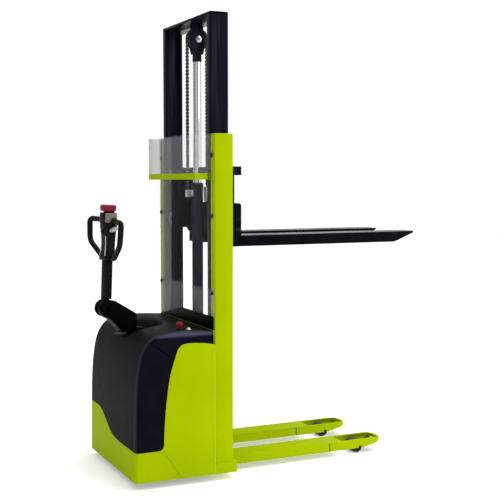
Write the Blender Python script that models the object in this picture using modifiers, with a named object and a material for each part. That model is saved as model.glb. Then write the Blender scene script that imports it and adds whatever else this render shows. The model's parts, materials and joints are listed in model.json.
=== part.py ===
"""Walkie stacker: an electric pedestrian stacker with a two-stage mast, forks over base legs, and a steered drive
unit with an upright tiller.

Every piece is modelled in mast coordinates: x runs forward from the rear face of the mast columns, y to the
operator's left, z up from the floor. One empty then carries the whole truck, so that the origin of the part lies
under the middle of its overall length and width. The mast stands part raised and the tiller a little to one side.
"""

import math

import bmesh
import bpy
from mathutils import Matrix, Vector

# ---------------------------------------------------------------- driving dimensions, in metres
GAP = 0.0003  # clearance between pieces that touch
MAST_REAR = -0.394  # x of the columns' rear faces in the part's own frame

HALF_WIDTH = 0.400
COLUMN_DEPTH = 0.100
COLUMN_FLANGE = 0.056
COLUMN_TOP = 1.790
BASE_BOTTOM = 0.034
BASE_TOP = 0.093
BASE_FRONT = 0.123

INNER_HALF = 0.343
INNER_FLANGE = 0.046
INNER_BOTTOM = 0.700
INNER_TOP = 2.409

CHAIN_REAR_X = 0.011
CHAIN_FRONT_X = 0.125
PULLEY_X = (CHAIN_REAR_X + CHAIN_FRONT_X) / 2
PULLEY_Z = 2.310
CHAIN_HALF_DEPTH = 0.006
CHAIN_HALF_WIDTH = 0.008
CHAIN_ANCHOR_Z = 1.500
CARRIAGE_ANCHOR_Z = 1.516

BARREL_RADIUS = 0.030
BARREL_TOP = 1.500
ROD_RADIUS = 0.0225

FORK_TOP = 1.262
FORK_BOTTOM = 1.204
FORK_TIP = 1.310
FORK_INNER_Y = 0.120
FORK_OUTER_Y = 0.280
SHANK_REAR = 0.157
SHANK_FRONT = 0.203
SHANK_TOP = 1.432
CARRIAGE_TOP = 1.625

LEG_TOP = 0.083
LEG_TIP = 1.098
LEG_INNER_Y = 0.130
LEG_OUTER_Y = 0.270
LOAD_ROLLER_X = 0.950
LOAD_ROLLER_RADIUS = 0.038

HOOD_HALF = 0.3955
HOOD_REAR = -0.432
HOOD_FRONT = -0.0068
HOOD_WALL = 0.004
SKIRT_BOTTOM = 0.036
DECK_Z = 0.250
DECK_THICKNESS = 0.008

STEER_X = -0.290
STEER_REST = math.radians(10)  # the tiller stands turned this far to the left
WHEEL_RADIUS = 0.110
TILT_X = -0.4745
TILT_Z = 0.884
TILLER_LEAN = math.radians(2.4)  # the upright tiller leans forward by this much
CASTOR_X = -0.280
CASTOR_Y = -0.270
CASTOR_TRAIL = 0.035
CASTOR_RADIUS = 0.070

ROLLER_X = COLUMN_DEPTH / 2
ROLLER_BORE = 0.0123
STUB_RADIUS = 0.012

# ---------------------------------------------------------------- scene and helpers
for old in list(bpy.data.objects):
    bpy.data.objects.remove(old)

PARTS = bpy.data.collections.new("walkie_stacker")
CUTTERS = bpy.data.collections.new("cutters")
bpy.context.scene.collection.children.link(PARTS)
bpy.context.scene.collection.children.link(CUTTERS)

# How an outline drawn in each plane, and its extrusion along the third axis, lie in mast coordinates.
PLANES = {
    "XY": (Matrix.Identity(4), Vector((0, 0, 1))),
    "XZ": (Matrix.Rotation(math.pi / 2, 4, "X"), Vector((0, 1, 0))),
    "YZ": (Matrix(((0, 0, 1, 0), (1, 0, 0, 0), (0, 1, 0, 0), (0, 0, 0, 1))), Vector((1, 0, 0))),
}
TURNS = {"Z": (0, 0, 0), "Y": (math.pi / 2, 0, 0), "X": (0, math.pi / 2, 0)}
ORIGINS = {}


def material(name, colour, roughness, metallic=0.0):
    made = bpy.data.materials.new(name)
    made.use_nodes = True
    shader = made.node_tree.nodes["Principled BSDF"]
    shader.inputs["Base Color"].default_value = (*colour, 1)
    shader.inputs["Roughness"].default_value = roughness
    shader.inputs["Metallic"].default_value = metallic
    return made


LIME = material("lime_paint", (0.43, 0.63, 0.01), 0.35)
BLACK_PAINT = material("black_paint", (0.012, 0.012, 0.015), 0.3)
BLACK_PLASTIC = material("black_plastic", (0.02, 0.02, 0.022), 0.55)
GREY_PLASTIC = material("grey_plastic", (0.50, 0.50, 0.47), 0.5)
RED_PLASTIC = material("red_plastic", (0.55, 0.01, 0.02), 0.4)
CHROME = material("chrome", (0.8, 0.8, 0.8), 0.08, 1.0)
STEEL = material("steel", (0.45, 0.45, 0.46), 0.35, 1.0)
CLEAR = material("clear_sheet", (0.85, 0.87, 0.85), 0.1)
RUBBER = material("polyurethane", (0.05, 0.045, 0.04), 0.6)


def empty(name, at, parent=None, rotation=(0, 0, 0)):
    """An empty on a joint's axis. Its pieces are drawn as if it weren't turned, and then turn with it."""
    made = bpy.data.objects.new(name, None)
    PARTS.objects.link(made)
    made.parent = parent
    made.location = Vector(at) - ORIGINS.get(parent, Vector())
    made.rotation_euler = rotation
    ORIGINS[made] = Vector(at)
    return made


def add(name, mesh, look, parent, origin=None):
    """Wraps a mesh drawn in mast coordinates in an object under its parent empty. A helper has no look."""
    made = bpy.data.objects.new(name, mesh)
    (PARTS if look else CUTTERS).objects.link(made)
    if look:
        mesh.materials.append(look)
    else:
        made.hide_render = True
        made.display_type = "WIRE"
    if origin is None:
        origin = ORIGINS[parent]
        mesh.transform(Matrix.Translation(-origin))
    made.parent = parent
    made.location = Vector(origin) - ORIGINS[parent]
    return made


def bevel(piece, width, segments=2, angle=40):
    edges = piece.modifiers.new("rounded_edges", "BEVEL")
    edges.width = width
    edges.segments = segments
    edges.limit_method = "ANGLE"
    edges.angle_limit = math.radians(angle)
    edges.use_clamp_overlap = False
    return piece


def box(name, xs, ys, zs, look=None, parent=None):
    mesh = bpy.data.meshes.new(name)
    cube = bmesh.new()
    bmesh.ops.create_cube(cube, size=1)
    size = [hi - lo for lo, hi in (xs, ys, zs)]
    middle = [(hi + lo) / 2 for lo, hi in (xs, ys, zs)]
    bmesh.ops.scale(cube, vec=size, verts=cube.verts)
    bmesh.ops.translate(cube, vec=middle, verts=cube.verts)
    cube.to_mesh(mesh)
    cube.free()
    return add(name, mesh, look, parent or TRUCK)


def cylinder(name, centre, axis, radius, length, look=None, parent=None, sides=32, top_radius=None):
    mesh = bpy.data.meshes.new(name)
    cone = bmesh.new()
    end_radius = radius if top_radius is None else top_radius
    bmesh.ops.create_cone(cone, cap_ends=True, segments=sides, radius1=radius, radius2=end_radius, depth=length)
    cone.to_mesh(mesh)
    cone.free()
    mesh.shade_smooth()
    mesh.set_sharp_from_angle(angle=math.radians(40))
    made = add(name, mesh, look, parent or TRUCK, origin=Vector(centre))
    made.rotation_euler = TURNS[axis]
    return made


def turned(name, profile, centre, axis, look, parent=None, steps=32, ring=False):
    """A profile of (radius, height) points, drawn from the top down the outer side, turned about the axis."""
    mesh = bpy.data.meshes.new(name)
    points = [(radius, 0, height) for radius, height in profile]
    edges = [(i, i + 1) for i in range(len(points) - 1)]
    if ring:
        edges.append((len(points) - 1, 0))
    mesh.from_pydata(points, edges, [])
    made = add(name, mesh, look, parent or TRUCK, origin=Vector(centre))
    made.rotation_euler = TURNS[axis]
    screw = made.modifiers.new("turned", "SCREW")
    screw.axis = "Z"
    screw.steps = steps
    screw.render_steps = steps
    screw.use_merge_vertices = True
    screw.merge_threshold = 0.00001
    screw.use_smooth_shade = False
    return made


def washer(name, centre, axis, outer, inner, length, look, parent=None, steps=32, round_over=0.0):
    """A plain ring, with its outer corners rounded over."""
    half = length / 2
    profile = [(inner, half), (outer - round_over, half)]
    if round_over:
        profile += [(outer, half - round_over), (outer, round_over - half)]
    else:
        profile += [(outer, half)]
    profile += [(outer - round_over, -half), (inner, -half)]
    return turned(name, profile, centre, axis, look, parent, steps, ring=True)


def outline(name, points, plane, low, high, look=None, parent=None):
    """A flat outline, extruded from low to high along the axis that its plane leaves out."""
    curve = bpy.data.curves.new(name, "CURVE")
    curve.dimensions = "2D"
    curve.fill_mode = "BOTH"
    curve.extrude = (high - low) / 2
    spline = curve.splines.new("POLY")
    spline.points.add(len(points) - 1)
    for point, (across, up) in zip(spline.points, points):
        point.co = (across, up, 0, 1)
    spline.use_cyclic_u = True
    guide = bpy.data.objects.new(name + "_guide", curve)
    CUTTERS.objects.link(guide)
    guide.hide_render = True
    bpy.context.view_layer.update()
    graph = bpy.context.evaluated_depsgraph_get()
    mesh = bpy.data.meshes.new_from_object(guide.evaluated_get(graph))
    bpy.data.objects.remove(guide)
    bpy.data.curves.remove(curve)
    turn, axis = PLANES[plane]
    mesh.transform(Matrix.Translation(axis * (low + high) / 2) @ turn)
    solid = bmesh.new()
    solid.from_mesh(mesh)
    bmesh.ops.remove_doubles(solid, verts=solid.verts, dist=0.00001)
    bmesh.ops.dissolve_limit(solid, angle_limit=math.radians(0.5), verts=solid.verts, edges=solid.edges)
    bmesh.ops.recalc_face_normals(solid, faces=solid.faces)
    solid.to_mesh(mesh)
    solid.free()
    mesh.name = name
    mesh.materials.clear()
    return add(name, mesh, look, parent or TRUCK)


def rail(name, points, radius, look, parent=None, sides=1):
    """A round tube along a line of points in mast coordinates."""
    parent = parent or TRUCK
    curve = bpy.data.curves.new(name, "CURVE")
    curve.dimensions = "3D"
    curve.bevel_depth = radius
    curve.bevel_resolution = sides
    curve.use_fill_caps = True
    curve.materials.append(look)
    spline = curve.splines.new("POLY")
    spline.points.add(len(points) - 1)
    for point, place in zip(spline.points, points):
        point.co = (*(Vector(place) - ORIGINS[parent]), 1)
    made = bpy.data.objects.new(name, curve)
    PARTS.objects.link(made)
    made.parent = parent
    return made


def combine(piece, operation, *others):
    for other in others:
        step = piece.modifiers.new(other.name, "BOOLEAN")
        step.operation = operation
        step.object = other
    return piece


def cut(piece, *cutters):
    return combine(piece, "DIFFERENCE", *cutters)


def join(piece, *others):
    return combine(piece, "UNION", *others)


def keep(piece, *regions):
    return combine(piece, "INTERSECT", *regions)


def arc(centre, radius, start, end, steps):
    """Points on an arc, with its angles in degrees."""
    angles = [math.radians(start + (end - start) * i / steps) for i in range(steps + 1)]
    return [(centre[0] + radius * math.cos(a), centre[1] + radius * math.sin(a)) for a in angles]


def rounded_path(corners, radius, steps=5):
    """A line through 3-D corners, each inner corner replaced by a curve that starts up to radius before it."""
    corners = [Vector(corner) for corner in corners]
    points = [corners[0]]
    for before, corner, after in zip(corners, corners[1:], corners[2:]):
        back, ahead = before - corner, after - corner
        reach = min(radius, 0.45 * back.length, 0.45 * ahead.length)
        start = corner + back.normalized() * reach
        end = corner + ahead.normalized() * reach
        for i in range(steps + 1):
            t = i / steps
            points.append(start * (1 - t) ** 2 + corner * 2 * t * (1 - t) + end * t**2)
    return points + [corners[-1]]


def channel(outer_y, flange, depth, web, wall, side):
    """The plan of a C-section column: its web is outboard and its flanges point inboard."""
    inner_y = outer_y - flange
    web_y = outer_y - web
    plan = [(0, outer_y), (depth, outer_y), (depth, inner_y), (depth - wall, inner_y)]
    plan += [(depth - wall, web_y), (wall, web_y), (wall, inner_y), (0, inner_y)]
    return [(x, side * y) for x, y in plan]


TRUCK = empty("walkie_stacker_origin", (0, 0, 0))
SIDES = (("left", 1), ("right", -1))


def span(side, low, high):
    """An interval on y for the left side, mirrored for the right."""
    return tuple(sorted((side * low, side * high)))


# ---------------------------------------------------------------- chassis
def base_frame():
    """The cross beam under the mast, the two base legs, and the plate that closes the mast's rear foot."""
    box("base_beam", (0, BASE_FRONT), (-HALF_WIDTH - 0.002, HALF_WIDTH + 0.002), (BASE_BOTTOM, BASE_TOP), LIME)
    plate_top = 0.786
    plate_x = (-0.0063, -GAP)
    box("mast_foot_plate", plate_x, (-0.3915, 0.3915), (SKIRT_BOTTOM, plate_top), LIME)
    for name, side in SIDES:
        base_leg(name, side)


def base_leg(name, side):
    """An inverted channel with a bullet nose, slotted on top over its load roller."""
    wall = 0.006
    nose = 0.055
    slot_start = 0.838
    slot_end = LEG_TIP - 0.022

    def plan(inset, start):
        inner, outer, tip = LEG_INNER_Y + inset, LEG_OUTER_Y - inset, LEG_TIP - inset
        bend = nose - inset
        points = [(start, inner)] + arc((tip - bend, inner + bend), bend, -90, 0, 5)
        points += arc((tip - bend, outer - bend), bend, 0, 90, 5) + [(start, outer)]
        return [(x, side * y) for x, y in points]

    leg = outline(f"leg_{name}", plan(0, BASE_FRONT + GAP), "XY", BASE_BOTTOM, LEG_TOP, LIME)
    hollow = outline(f"leg_{name}_hollow", plan(wall, 0.0), "XY", 0.0, LEG_TOP - wall)
    slot_y = (LEG_INNER_Y + 0.016, LEG_OUTER_Y - 0.016)
    slot = box(f"leg_{name}_slot", (slot_start, slot_end), span(side, *slot_y), (0.05, 0.10))
    rise = outline(
        f"leg_{name}_nose",
        [(0.965, 0.0), (LEG_TIP + 0.02, 0.0), (LEG_TIP + 0.02, 0.064), (0.965, BASE_BOTTOM)],
        "XZ",
        *span(side, LEG_INNER_Y - 0.01, LEG_OUTER_Y + 0.01),
    )
    middle_y = side * (LEG_INNER_Y + LEG_OUTER_Y) / 2
    axle_at = (LOAD_ROLLER_X, middle_y, LOAD_ROLLER_RADIUS)
    axle_radius = 0.009
    width = LEG_OUTER_Y - LEG_INNER_Y
    hole = cylinder(f"leg_{name}_axle_hole", axle_at, "Y", axle_radius + GAP, width + 0.02, sides=20)
    cut(leg, hollow, slot, rise, hole)
    cylinder(f"load_roller_axle_{name}", axle_at, "Y", axle_radius, width + 0.006, STEEL, sides=20)
    spin = empty(f"load_roller_{name}_axis", axle_at, TRUCK)
    washer(
        f"load_roller_{name}", axle_at, "Y", LOAD_ROLLER_RADIUS, axle_radius + GAP, 0.080, RUBBER, spin,
        round_over=0.004,
    )


def body_sides():
    """The lime side plates between the mast and the rear hood, with a rounded upper rear corner."""
    upper = arc((-0.156, 0.672), 0.056, 90, 158, 6)
    edge = [(-0.225, 0.653), (-0.245, 0.576), (-0.263, 0.467), (-0.2735, 0.371), (-0.281, 0.235)]
    flare = [(-0.295, 0.206), (-0.318, 0.1915), (-0.280, 0.187), (-0.182, SKIRT_BOTTOM)]
    plate = [(-GAP, SKIRT_BOTTOM), (-GAP, 0.714), (-0.097, 0.728)] + upper + edge + flare
    for name, side in SIDES:
        outline(f"side_panel_{name}", plate, "XZ", *span(side, HOOD_HALF + GAP, HALF_WIDTH), LIME)


def hood_profile(inset):
    """The hood's side view, drawn past its front and bottom so that the shell stays open there."""
    rear = [(-0.4320, 0.036), (-0.4300, 0.226), (-0.4265, 0.418), (-0.4190, 0.546), (-0.4020, 0.655)]
    crown = [(-0.3780, 0.716), (-0.3420, 0.758), (-0.2850, 0.781), (-0.1700, 0.791), (-0.0068, 0.783)]
    points = [(x + inset, z) for x, z in rear] + [(x + inset * 0.6, z - inset * 0.8) for x, z in crown[:2]]
    points += [(x, z - inset) for x, z in crown[2:]]
    return [(HOOD_REAR + inset, -0.1)] + points + [(0.1, crown[-1][1] - inset), (0.1, -0.1)]


DISH_RADIUS = 0.120
DISH_RIM_RADIUS = 0.170
DISH_FLOOR = 0.735
DISH_RIM = 0.805
HOOD_ROUND = 0.022


def dish(name, inset):
    """The round recess in the hood's top in which the tiller's arm swings."""
    height = DISH_RIM - DISH_FLOOR
    at = (STEER_X, 0, (DISH_RIM + DISH_FLOOR) / 2 - inset)
    return cylinder(name, at, "Z", DISH_RADIUS + inset, height, sides=40, top_radius=DISH_RIM_RADIUS + inset)


def hood_shell(name, look):
    """The whole hood as one shell, from which each cover keeps its own region."""
    shell = outline(name, hood_profile(0), "XZ", -HOOD_HALF, HOOD_HALF, look)
    bevel(shell, HOOD_ROUND, segments=3)
    inner_half = HOOD_HALF - HOOD_WALL
    hollow = outline(name + "_hollow", hood_profile(HOOD_WALL), "XZ", -inner_half, inner_half)
    bevel(hollow, HOOD_ROUND - HOOD_WALL, segments=3)
    cut(hollow, dish(name + "_dish_under", HOOD_WALL))
    front = box(name + "_front", (HOOD_FRONT, 0.3), (-0.5, 0.5), (-0.3, 1.0))
    bottom = box(name + "_bottom", (-0.6, 0.3), (-0.5, 0.5), (-0.3, SKIRT_BOTTOM))
    return cut(shell, dish(name + "_dish", 0), hollow, front, bottom)


SIDE_LAP = -0.205  # the covers' side walls end here, behind the side plates


def skirt_edge(name, lift):
    """The region below the skirt's upper edge, which steps up on the left of the rear face."""
    low, high = 0.190 + lift, 0.311 + lift
    points = [(-0.5, 0), (0.5, 0), (0.5, high), (0.181, high), (-0.067, low), (-0.5, low)]
    return outline(name, points, "YZ", -0.6, 0.1)


def covers():
    """The rear cover, the top cover with its controls' holes, and the lime skirt below them."""
    seam = 0.0003
    top = hood_shell("top_cover", BLACK_PLASTIC)
    top_region = [(-0.6, 0.742 + seam), (-0.352, 0.742 + seam), (-0.344, 0.739 + seam), (-0.225, 0.653 + seam)]
    top_region += [(-0.18, 0.620), (0.1, 0.620), (0.1, 0.9), (-0.6, 0.9)]
    keep(top, outline("top_cover_region", top_region, "XZ", -0.5, 0.5))
    column_hole = cylinder("top_cover_column_hole", (STEER_X, 0, DISH_FLOOR), "Z", 0.045, 0.05)
    stop_hole = cylinder("top_cover_stop_hole", (*STOP_BUTTON_XY, 0.79), "Z", 0.0108, 0.06, sides=20)
    key_hole = cylinder("top_cover_key_hole", (*KEY_XY, 0.79), "Z", 0.0098, 0.06, sides=20)
    cut(top, column_hole, stop_hole, key_hole)

    rear = hood_shell("rear_cover", BLACK_PLASTIC)
    rear_region = [(-0.6, 0), (-0.6, 0.742), (-0.3522, 0.742), (-0.3442, 0.739), (-0.2252, 0.653)]
    rear_region += [(SIDE_LAP, 0.638), (SIDE_LAP, 0)]
    keep(rear, outline("rear_cover_region", rear_region, "XZ", -0.5, 0.5))
    column_slot = cylinder("rear_cover_column_hole", (STEER_X, 0, DISH_FLOOR), "Z", 0.045, 0.05)
    cut(rear, skirt_edge("rear_cover_edge", 0.0006), column_slot)

    skirt = hood_shell("rear_skirt", LIME)
    skirt_region = [(-0.6, 0), (-0.165, 0), (-0.185, 0.043), (-0.2785, 0.186), (-0.2785, 0.35), (-0.6, 0.35)]
    keep(skirt, outline("rear_skirt_region", skirt_region, "XZ", -0.5, 0.5), skirt_edge("rear_skirt_edge", 0.0))


STOP_BUTTON_XY = (-0.160, -0.312)
KEY_XY = (-0.122, -0.336)


def controls_on_hood():
    """The emergency stop, which is pressed, and the key switch, which turns."""
    press = empty("stop_button_axis", (*STOP_BUTTON_XY, 0.79), TRUCK)
    cap = [(0.0, 0.829), (0.012, 0.828), (0.0175, 0.824), (0.019, 0.818), (0.018, 0.810), (0.0105, 0.808)]
    profile = cap + [(0.0105, 0.765), (0.0, 0.765)]
    turned("emergency_stop_button", lowered(profile, 0.79), (*STOP_BUTTON_XY, 0.79), "Z", RED_PLASTIC, press, 24)
    turn = empty("key_switch_axis", (*KEY_XY, 0.79), TRUCK)
    key = turned("key_switch", lowered([(0.0, 0.797), (0.0095, 0.796), (0.0095, 0.765), (0.0, 0.765)], 0.79),
                 (*KEY_XY, 0.79), "Z", STEEL, turn, 20)
    blade = box("key_blade", (KEY_XY[0] - 0.008, KEY_XY[0] + 0.008), (KEY_XY[1] - 0.0012, KEY_XY[1] + 0.0012),
                (0.790, 0.812), parent=turn)
    join(key, blade)


def lowered(profile, height):
    """A profile whose heights are given above the floor, measured from the turned piece's own centre."""
    return [(radius, z - height) for radius, z in profile]


def inside_the_hood():
    """The deck that carries the battery, the pump unit and the motor controller."""
    deck_y = (-0.385, 0.385)
    deck = box("chassis_deck", (-0.410, -0.0068), deck_y, (DECK_Z, DECK_Z + DECK_THICKNESS), LIME)
    cut(deck, cylinder("deck_drive_hole", (STEER_X, 0, DECK_Z), "Z", 0.073, 0.05))
    floor = DECK_Z + DECK_THICKNESS + GAP
    bevel(box("battery", (-0.165, -0.015), (-0.290, 0.290), (floor, 0.500), BLACK_PLASTIC), 0.004, 1)
    tank = box("hydraulic_power_unit", (-0.150, -0.020), (-0.250, -0.040), (0.5005, 0.630), BLACK_PAINT)
    pump_at = (-0.085, 0.0, 0.565)
    join(tank, cylinder("pump_motor", pump_at, "Y", 0.050, 0.100, sides=24))
    box("motor_controller", (-0.145, -0.030), (0.080, 0.270), (0.5005, 0.560), STEEL)
    washer("steering_bearing", (STEER_X, 0, floor + 0.010), "Z", 0.098, 0.0725, 0.020, STEEL)


# ---------------------------------------------------------------- mast
def outer_mast():
    """Two lime channels that stand on the cross beam."""
    for name, side in SIDES:
        plan = channel(HALF_WIDTH, COLUMN_FLANGE, COLUMN_DEPTH, 0.008, 0.010, side)
        outline(f"outer_mast_{name}", plan, "XY", BASE_TOP + GAP, COLUMN_TOP, LIME)


def guards():
    """The clear sheet on the columns, the lime bar that stands off it, and the clear hand guard on that bar."""
    sheet = (-0.0053, -GAP)
    box("mast_screen", sheet, (-0.392, 0.392), (0.800, COLUMN_TOP - 0.003), CLEAR)
    reach = -0.090
    arm_y = 0.353
    bar_bottom, bar_top = 1.556, 1.588

    def bent_strip(thickness):
        bend = 0.012
        front = sheet[0] - GAP
        outer = [(front, arm_y)] + arc((reach + bend, arm_y - bend), bend, 90, 180, 3)
        inner = [(reach + thickness, arm_y - thickness), (front, arm_y - thickness)]
        half = outer + [(x, -y) for x, y in reversed(outer)]
        return half + [(x, -y) for x, y in reversed(inner)] + inner

    outline("guard_bar", bent_strip(0.005), "XY", bar_bottom, bar_top, LIME)
    outline("hand_guard", bent_strip(0.004), "XY", bar_top + GAP, COLUMN_TOP - 0.004, CLEAR)


def lift_cylinder(lift):
    """The barrel stands on the cross beam. The rod rises with the inner mast."""
    foot = BASE_TOP + GAP
    bore = ROD_RADIUS + 0.003
    barrel = [(bore, BARREL_TOP), (BARREL_RADIUS, BARREL_TOP), (BARREL_RADIUS, foot), (0.0, foot)]
    barrel += [(0.0, foot + 0.02), (bore, foot + 0.02)]
    turned("cylinder_barrel", barrel, (PULLEY_X, 0, 0), "Z", BLACK_PAINT, ring=True)
    gland_height = 0.040
    gland_at = (PULLEY_X, 0, BARREL_TOP + GAP + gland_height / 2)
    washer("cylinder_gland", gland_at, "Z", 0.033, ROD_RADIUS + GAP, gland_height, BLACK_PAINT, round_over=0.002)
    rod_bottom, rod_top = 0.725, 2.190
    rod = [(0.0, rod_top), (ROD_RADIUS, rod_top), (ROD_RADIUS, rod_bottom), (0.0, rod_bottom)]
    turned("cylinder_rod", rod, (PULLEY_X, 0, 0), "Z", CHROME, lift)
    anchor = (CHAIN_ANCHOR_Z - 0.036, CHAIN_ANCHOR_Z - GAP)
    box("chain_anchor_mast", (0.003, PULLEY_X - BARREL_RADIUS - GAP), (-0.016, 0.016), anchor, STEEL)


def inner_mast(lift):
    """Two black channels inside the columns, tied by a top plate and a lower cross tie."""
    web, wall = 0.010, 0.013
    plan = channel(INNER_HALF, INNER_FLANGE, COLUMN_DEPTH, web, wall, 1)
    mast = outline("inner_mast", plan, "XY", INNER_BOTTOM, INNER_TOP, BLACK_PAINT, lift)
    plan = channel(INNER_HALF, INNER_FLANGE, COLUMN_DEPTH, web, wall, -1)
    other = outline("inner_mast_right_channel", plan, "XY", INNER_BOTTOM, INNER_TOP, parent=lift)
    inner_y = INNER_HALF - INNER_FLANGE + 0.005
    top_plate = box("inner_mast_top_plate", (0, COLUMN_DEPTH), (-INNER_HALF, INNER_HALF),
                    (INNER_TOP - 0.012, INNER_TOP), parent=lift)
    front_lips = [box(f"inner_mast_front_lip_{name}", (COLUMN_DEPTH - 0.008, COLUMN_DEPTH),
                      span(side, 0.030, inner_y), (INNER_TOP - 0.035, INNER_TOP - 0.006), parent=lift)
                  for name, side in SIDES]
    tie = [(-inner_y, INNER_BOTTOM), (inner_y, INNER_BOTTOM), (inner_y, 0.775), (0.17, 0.835), (-0.17, 0.835)]
    tie.append((-inner_y, 0.775))
    lower_tie = outline("inner_mast_lower_tie", tie, "YZ", 0.004, 0.012, parent=lift)
    join(mast, other, top_plate, *front_lips, lower_tie)
    roller_z = INNER_BOTTOM + 0.060
    for name, side in SIDES:
        stub_y = side * (INNER_HALF + 0.0225)
        stub = cylinder(f"mast_roller_{name}_stub", (ROLLER_X, stub_y, roller_z), "Y", STUB_RADIUS, 0.047,
                        parent=lift, sides=20)
        join(mast, stub)
        centre = (ROLLER_X, side * 0.3670, roller_z)
        spin = empty(f"mast_roller_{name}_axis", centre, lift)
        washer(f"mast_roller_{name}", centre, "Y", 0.039, ROLLER_BORE, 0.044, STEEL, spin, round_over=0.003)


def chain_pulley(lift):
    """The head on top of the rod: a block, two cheeks, the pulley between them and its pin."""
    head_bottom = 2.2305
    cheek_top = INNER_TOP - 0.012 - GAP
    block = box("pulley_block", (0.040, 0.097), (-0.025, 0.025), (head_bottom, 2.243), BLACK_PAINT, lift)
    neck = cylinder("pulley_block_neck", (PULLEY_X, 0, 2.2115), "Z", 0.0245, 0.042, parent=lift, sides=24)
    join(block, neck)
    cheek = [(0.040, 2.2315), (0.097, 2.2315), (0.108, 2.285), (0.108, 2.335), (0.098, 2.360), (0.098, cheek_top)]
    cheek += [(0.036, cheek_top), (0.036, 2.360), (0.028, 2.335), (0.028, 2.285)]
    for name, side in SIDES:
        join(block, outline(f"pulley_cheek_{name}", cheek, "XZ", *span(side, 0.0135, 0.0215), parent=lift))
    pin_at = (PULLEY_X, 0, PULLEY_Z)
    pin_radius = 0.0125
    cut(block, cylinder("pulley_pin_hole", pin_at, "Y", pin_radius + GAP, 0.1, parent=lift, sides=24))
    pin = cylinder("pulley_pin", pin_at, "Y", pin_radius, 0.056, STEEL, lift, sides=24)
    head_at = (PULLEY_X, -0.0275, PULLEY_Z)
    join(pin, cylinder("pulley_pin_head", head_at, "Y", 0.019, 0.011, parent=lift, sides=6))
    spin = empty("chain_pulley_axis", pin_at, lift)
    groove, rim, half = 0.0505, 0.0620, 0.0130
    lip = 0.0092
    bore = pin_radius + GAP
    wheel = [(bore, half), (rim, half), (rim, lip), (groove, lip), (groove, -lip), (rim, -lip)]
    wheel += [(rim, -half), (bore, -half)]
    turned("chain_pulley", wheel, pin_at, "Y", STEEL, spin, 40, ring=True)


def chains(lift):
    """The two straight runs of the lift chain: from its anchor to the pulley, and on down to the carriage."""
    width = (-CHAIN_HALF_WIDTH, CHAIN_HALF_WIDTH)
    rear_x = (CHAIN_REAR_X - CHAIN_HALF_DEPTH, CHAIN_REAR_X + CHAIN_HALF_DEPTH)
    front_x = (CHAIN_FRONT_X - CHAIN_HALF_DEPTH, CHAIN_FRONT_X + CHAIN_HALF_DEPTH)
    box("chain_rear_run", rear_x, width, (CHAIN_ANCHOR_Z, PULLEY_Z), STEEL)
    box("chain_front_run", front_x, width, (CARRIAGE_ANCHOR_Z, PULLEY_Z), STEEL, lift)


def carriage(slide):
    """Side plates with roller stubs, two cross plates and the upper fork bar."""
    plate_y = (0.280, 0.292)
    side_plate = [(0.030, 1.285), (0.118, 1.285), (0.129, 1.2625), (SHANK_REAR - GAP, 1.2625)]
    side_plate += [(SHANK_REAR - GAP, CARRIAGE_TOP), (0.030, CARRIAGE_TOP)]
    plate = outline("carriage", side_plate, "XZ", *span(1, *plate_y), BLACK_PAINT, slide)
    other = outline("carriage_right_plate", side_plate, "XZ", *span(-1, *plate_y), parent=slide)
    front = (CHAIN_FRONT_X + CHAIN_HALF_DEPTH + 0.002, SHANK_REAR - GAP)
    across = (-0.285, 0.285)
    lower = box("carriage_lower_plate", front, across, (1.2625, 1.430), parent=slide)
    upper = box("carriage_upper_plate", front, across, (1.560, CARRIAGE_TOP), parent=slide)
    bar = box("carriage_upper_bar", (0.150, SHANK_FRONT), (-0.279, 0.279), (1.579, CARRIAGE_TOP), parent=slide)
    tab = box("carriage_chain_tab", front, (-0.045, 0.045), (1.42, CARRIAGE_ANCHOR_Z), parent=slide)
    join(plate, other, lower, upper, bar, tab)
    box("chain_anchor_carriage", (0.110, front[0] - GAP), (-0.016, 0.016), (1.440, CARRIAGE_ANCHOR_Z - GAP),
        STEEL, slide)
    for level, roller_z in (("lower", 1.335), ("upper", 1.580)):
        for name, side in SIDES:
            stub = cylinder(f"carriage_stub_{level}_{name}", (ROLLER_X, side * 0.3085, roller_z), "Y", STUB_RADIUS,
                            0.045, parent=slide, sides=20)
            join(plate, stub)
            centre = (ROLLER_X, side * 0.3120, roller_z)
            spin = empty(f"carriage_roller_{level}_{name}_axis", centre, slide)
            washer(f"carriage_roller_{level}_{name}", centre, "Y", 0.036, ROLLER_BORE, 0.038, STEEL, spin,
                   round_over=0.003)


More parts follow.
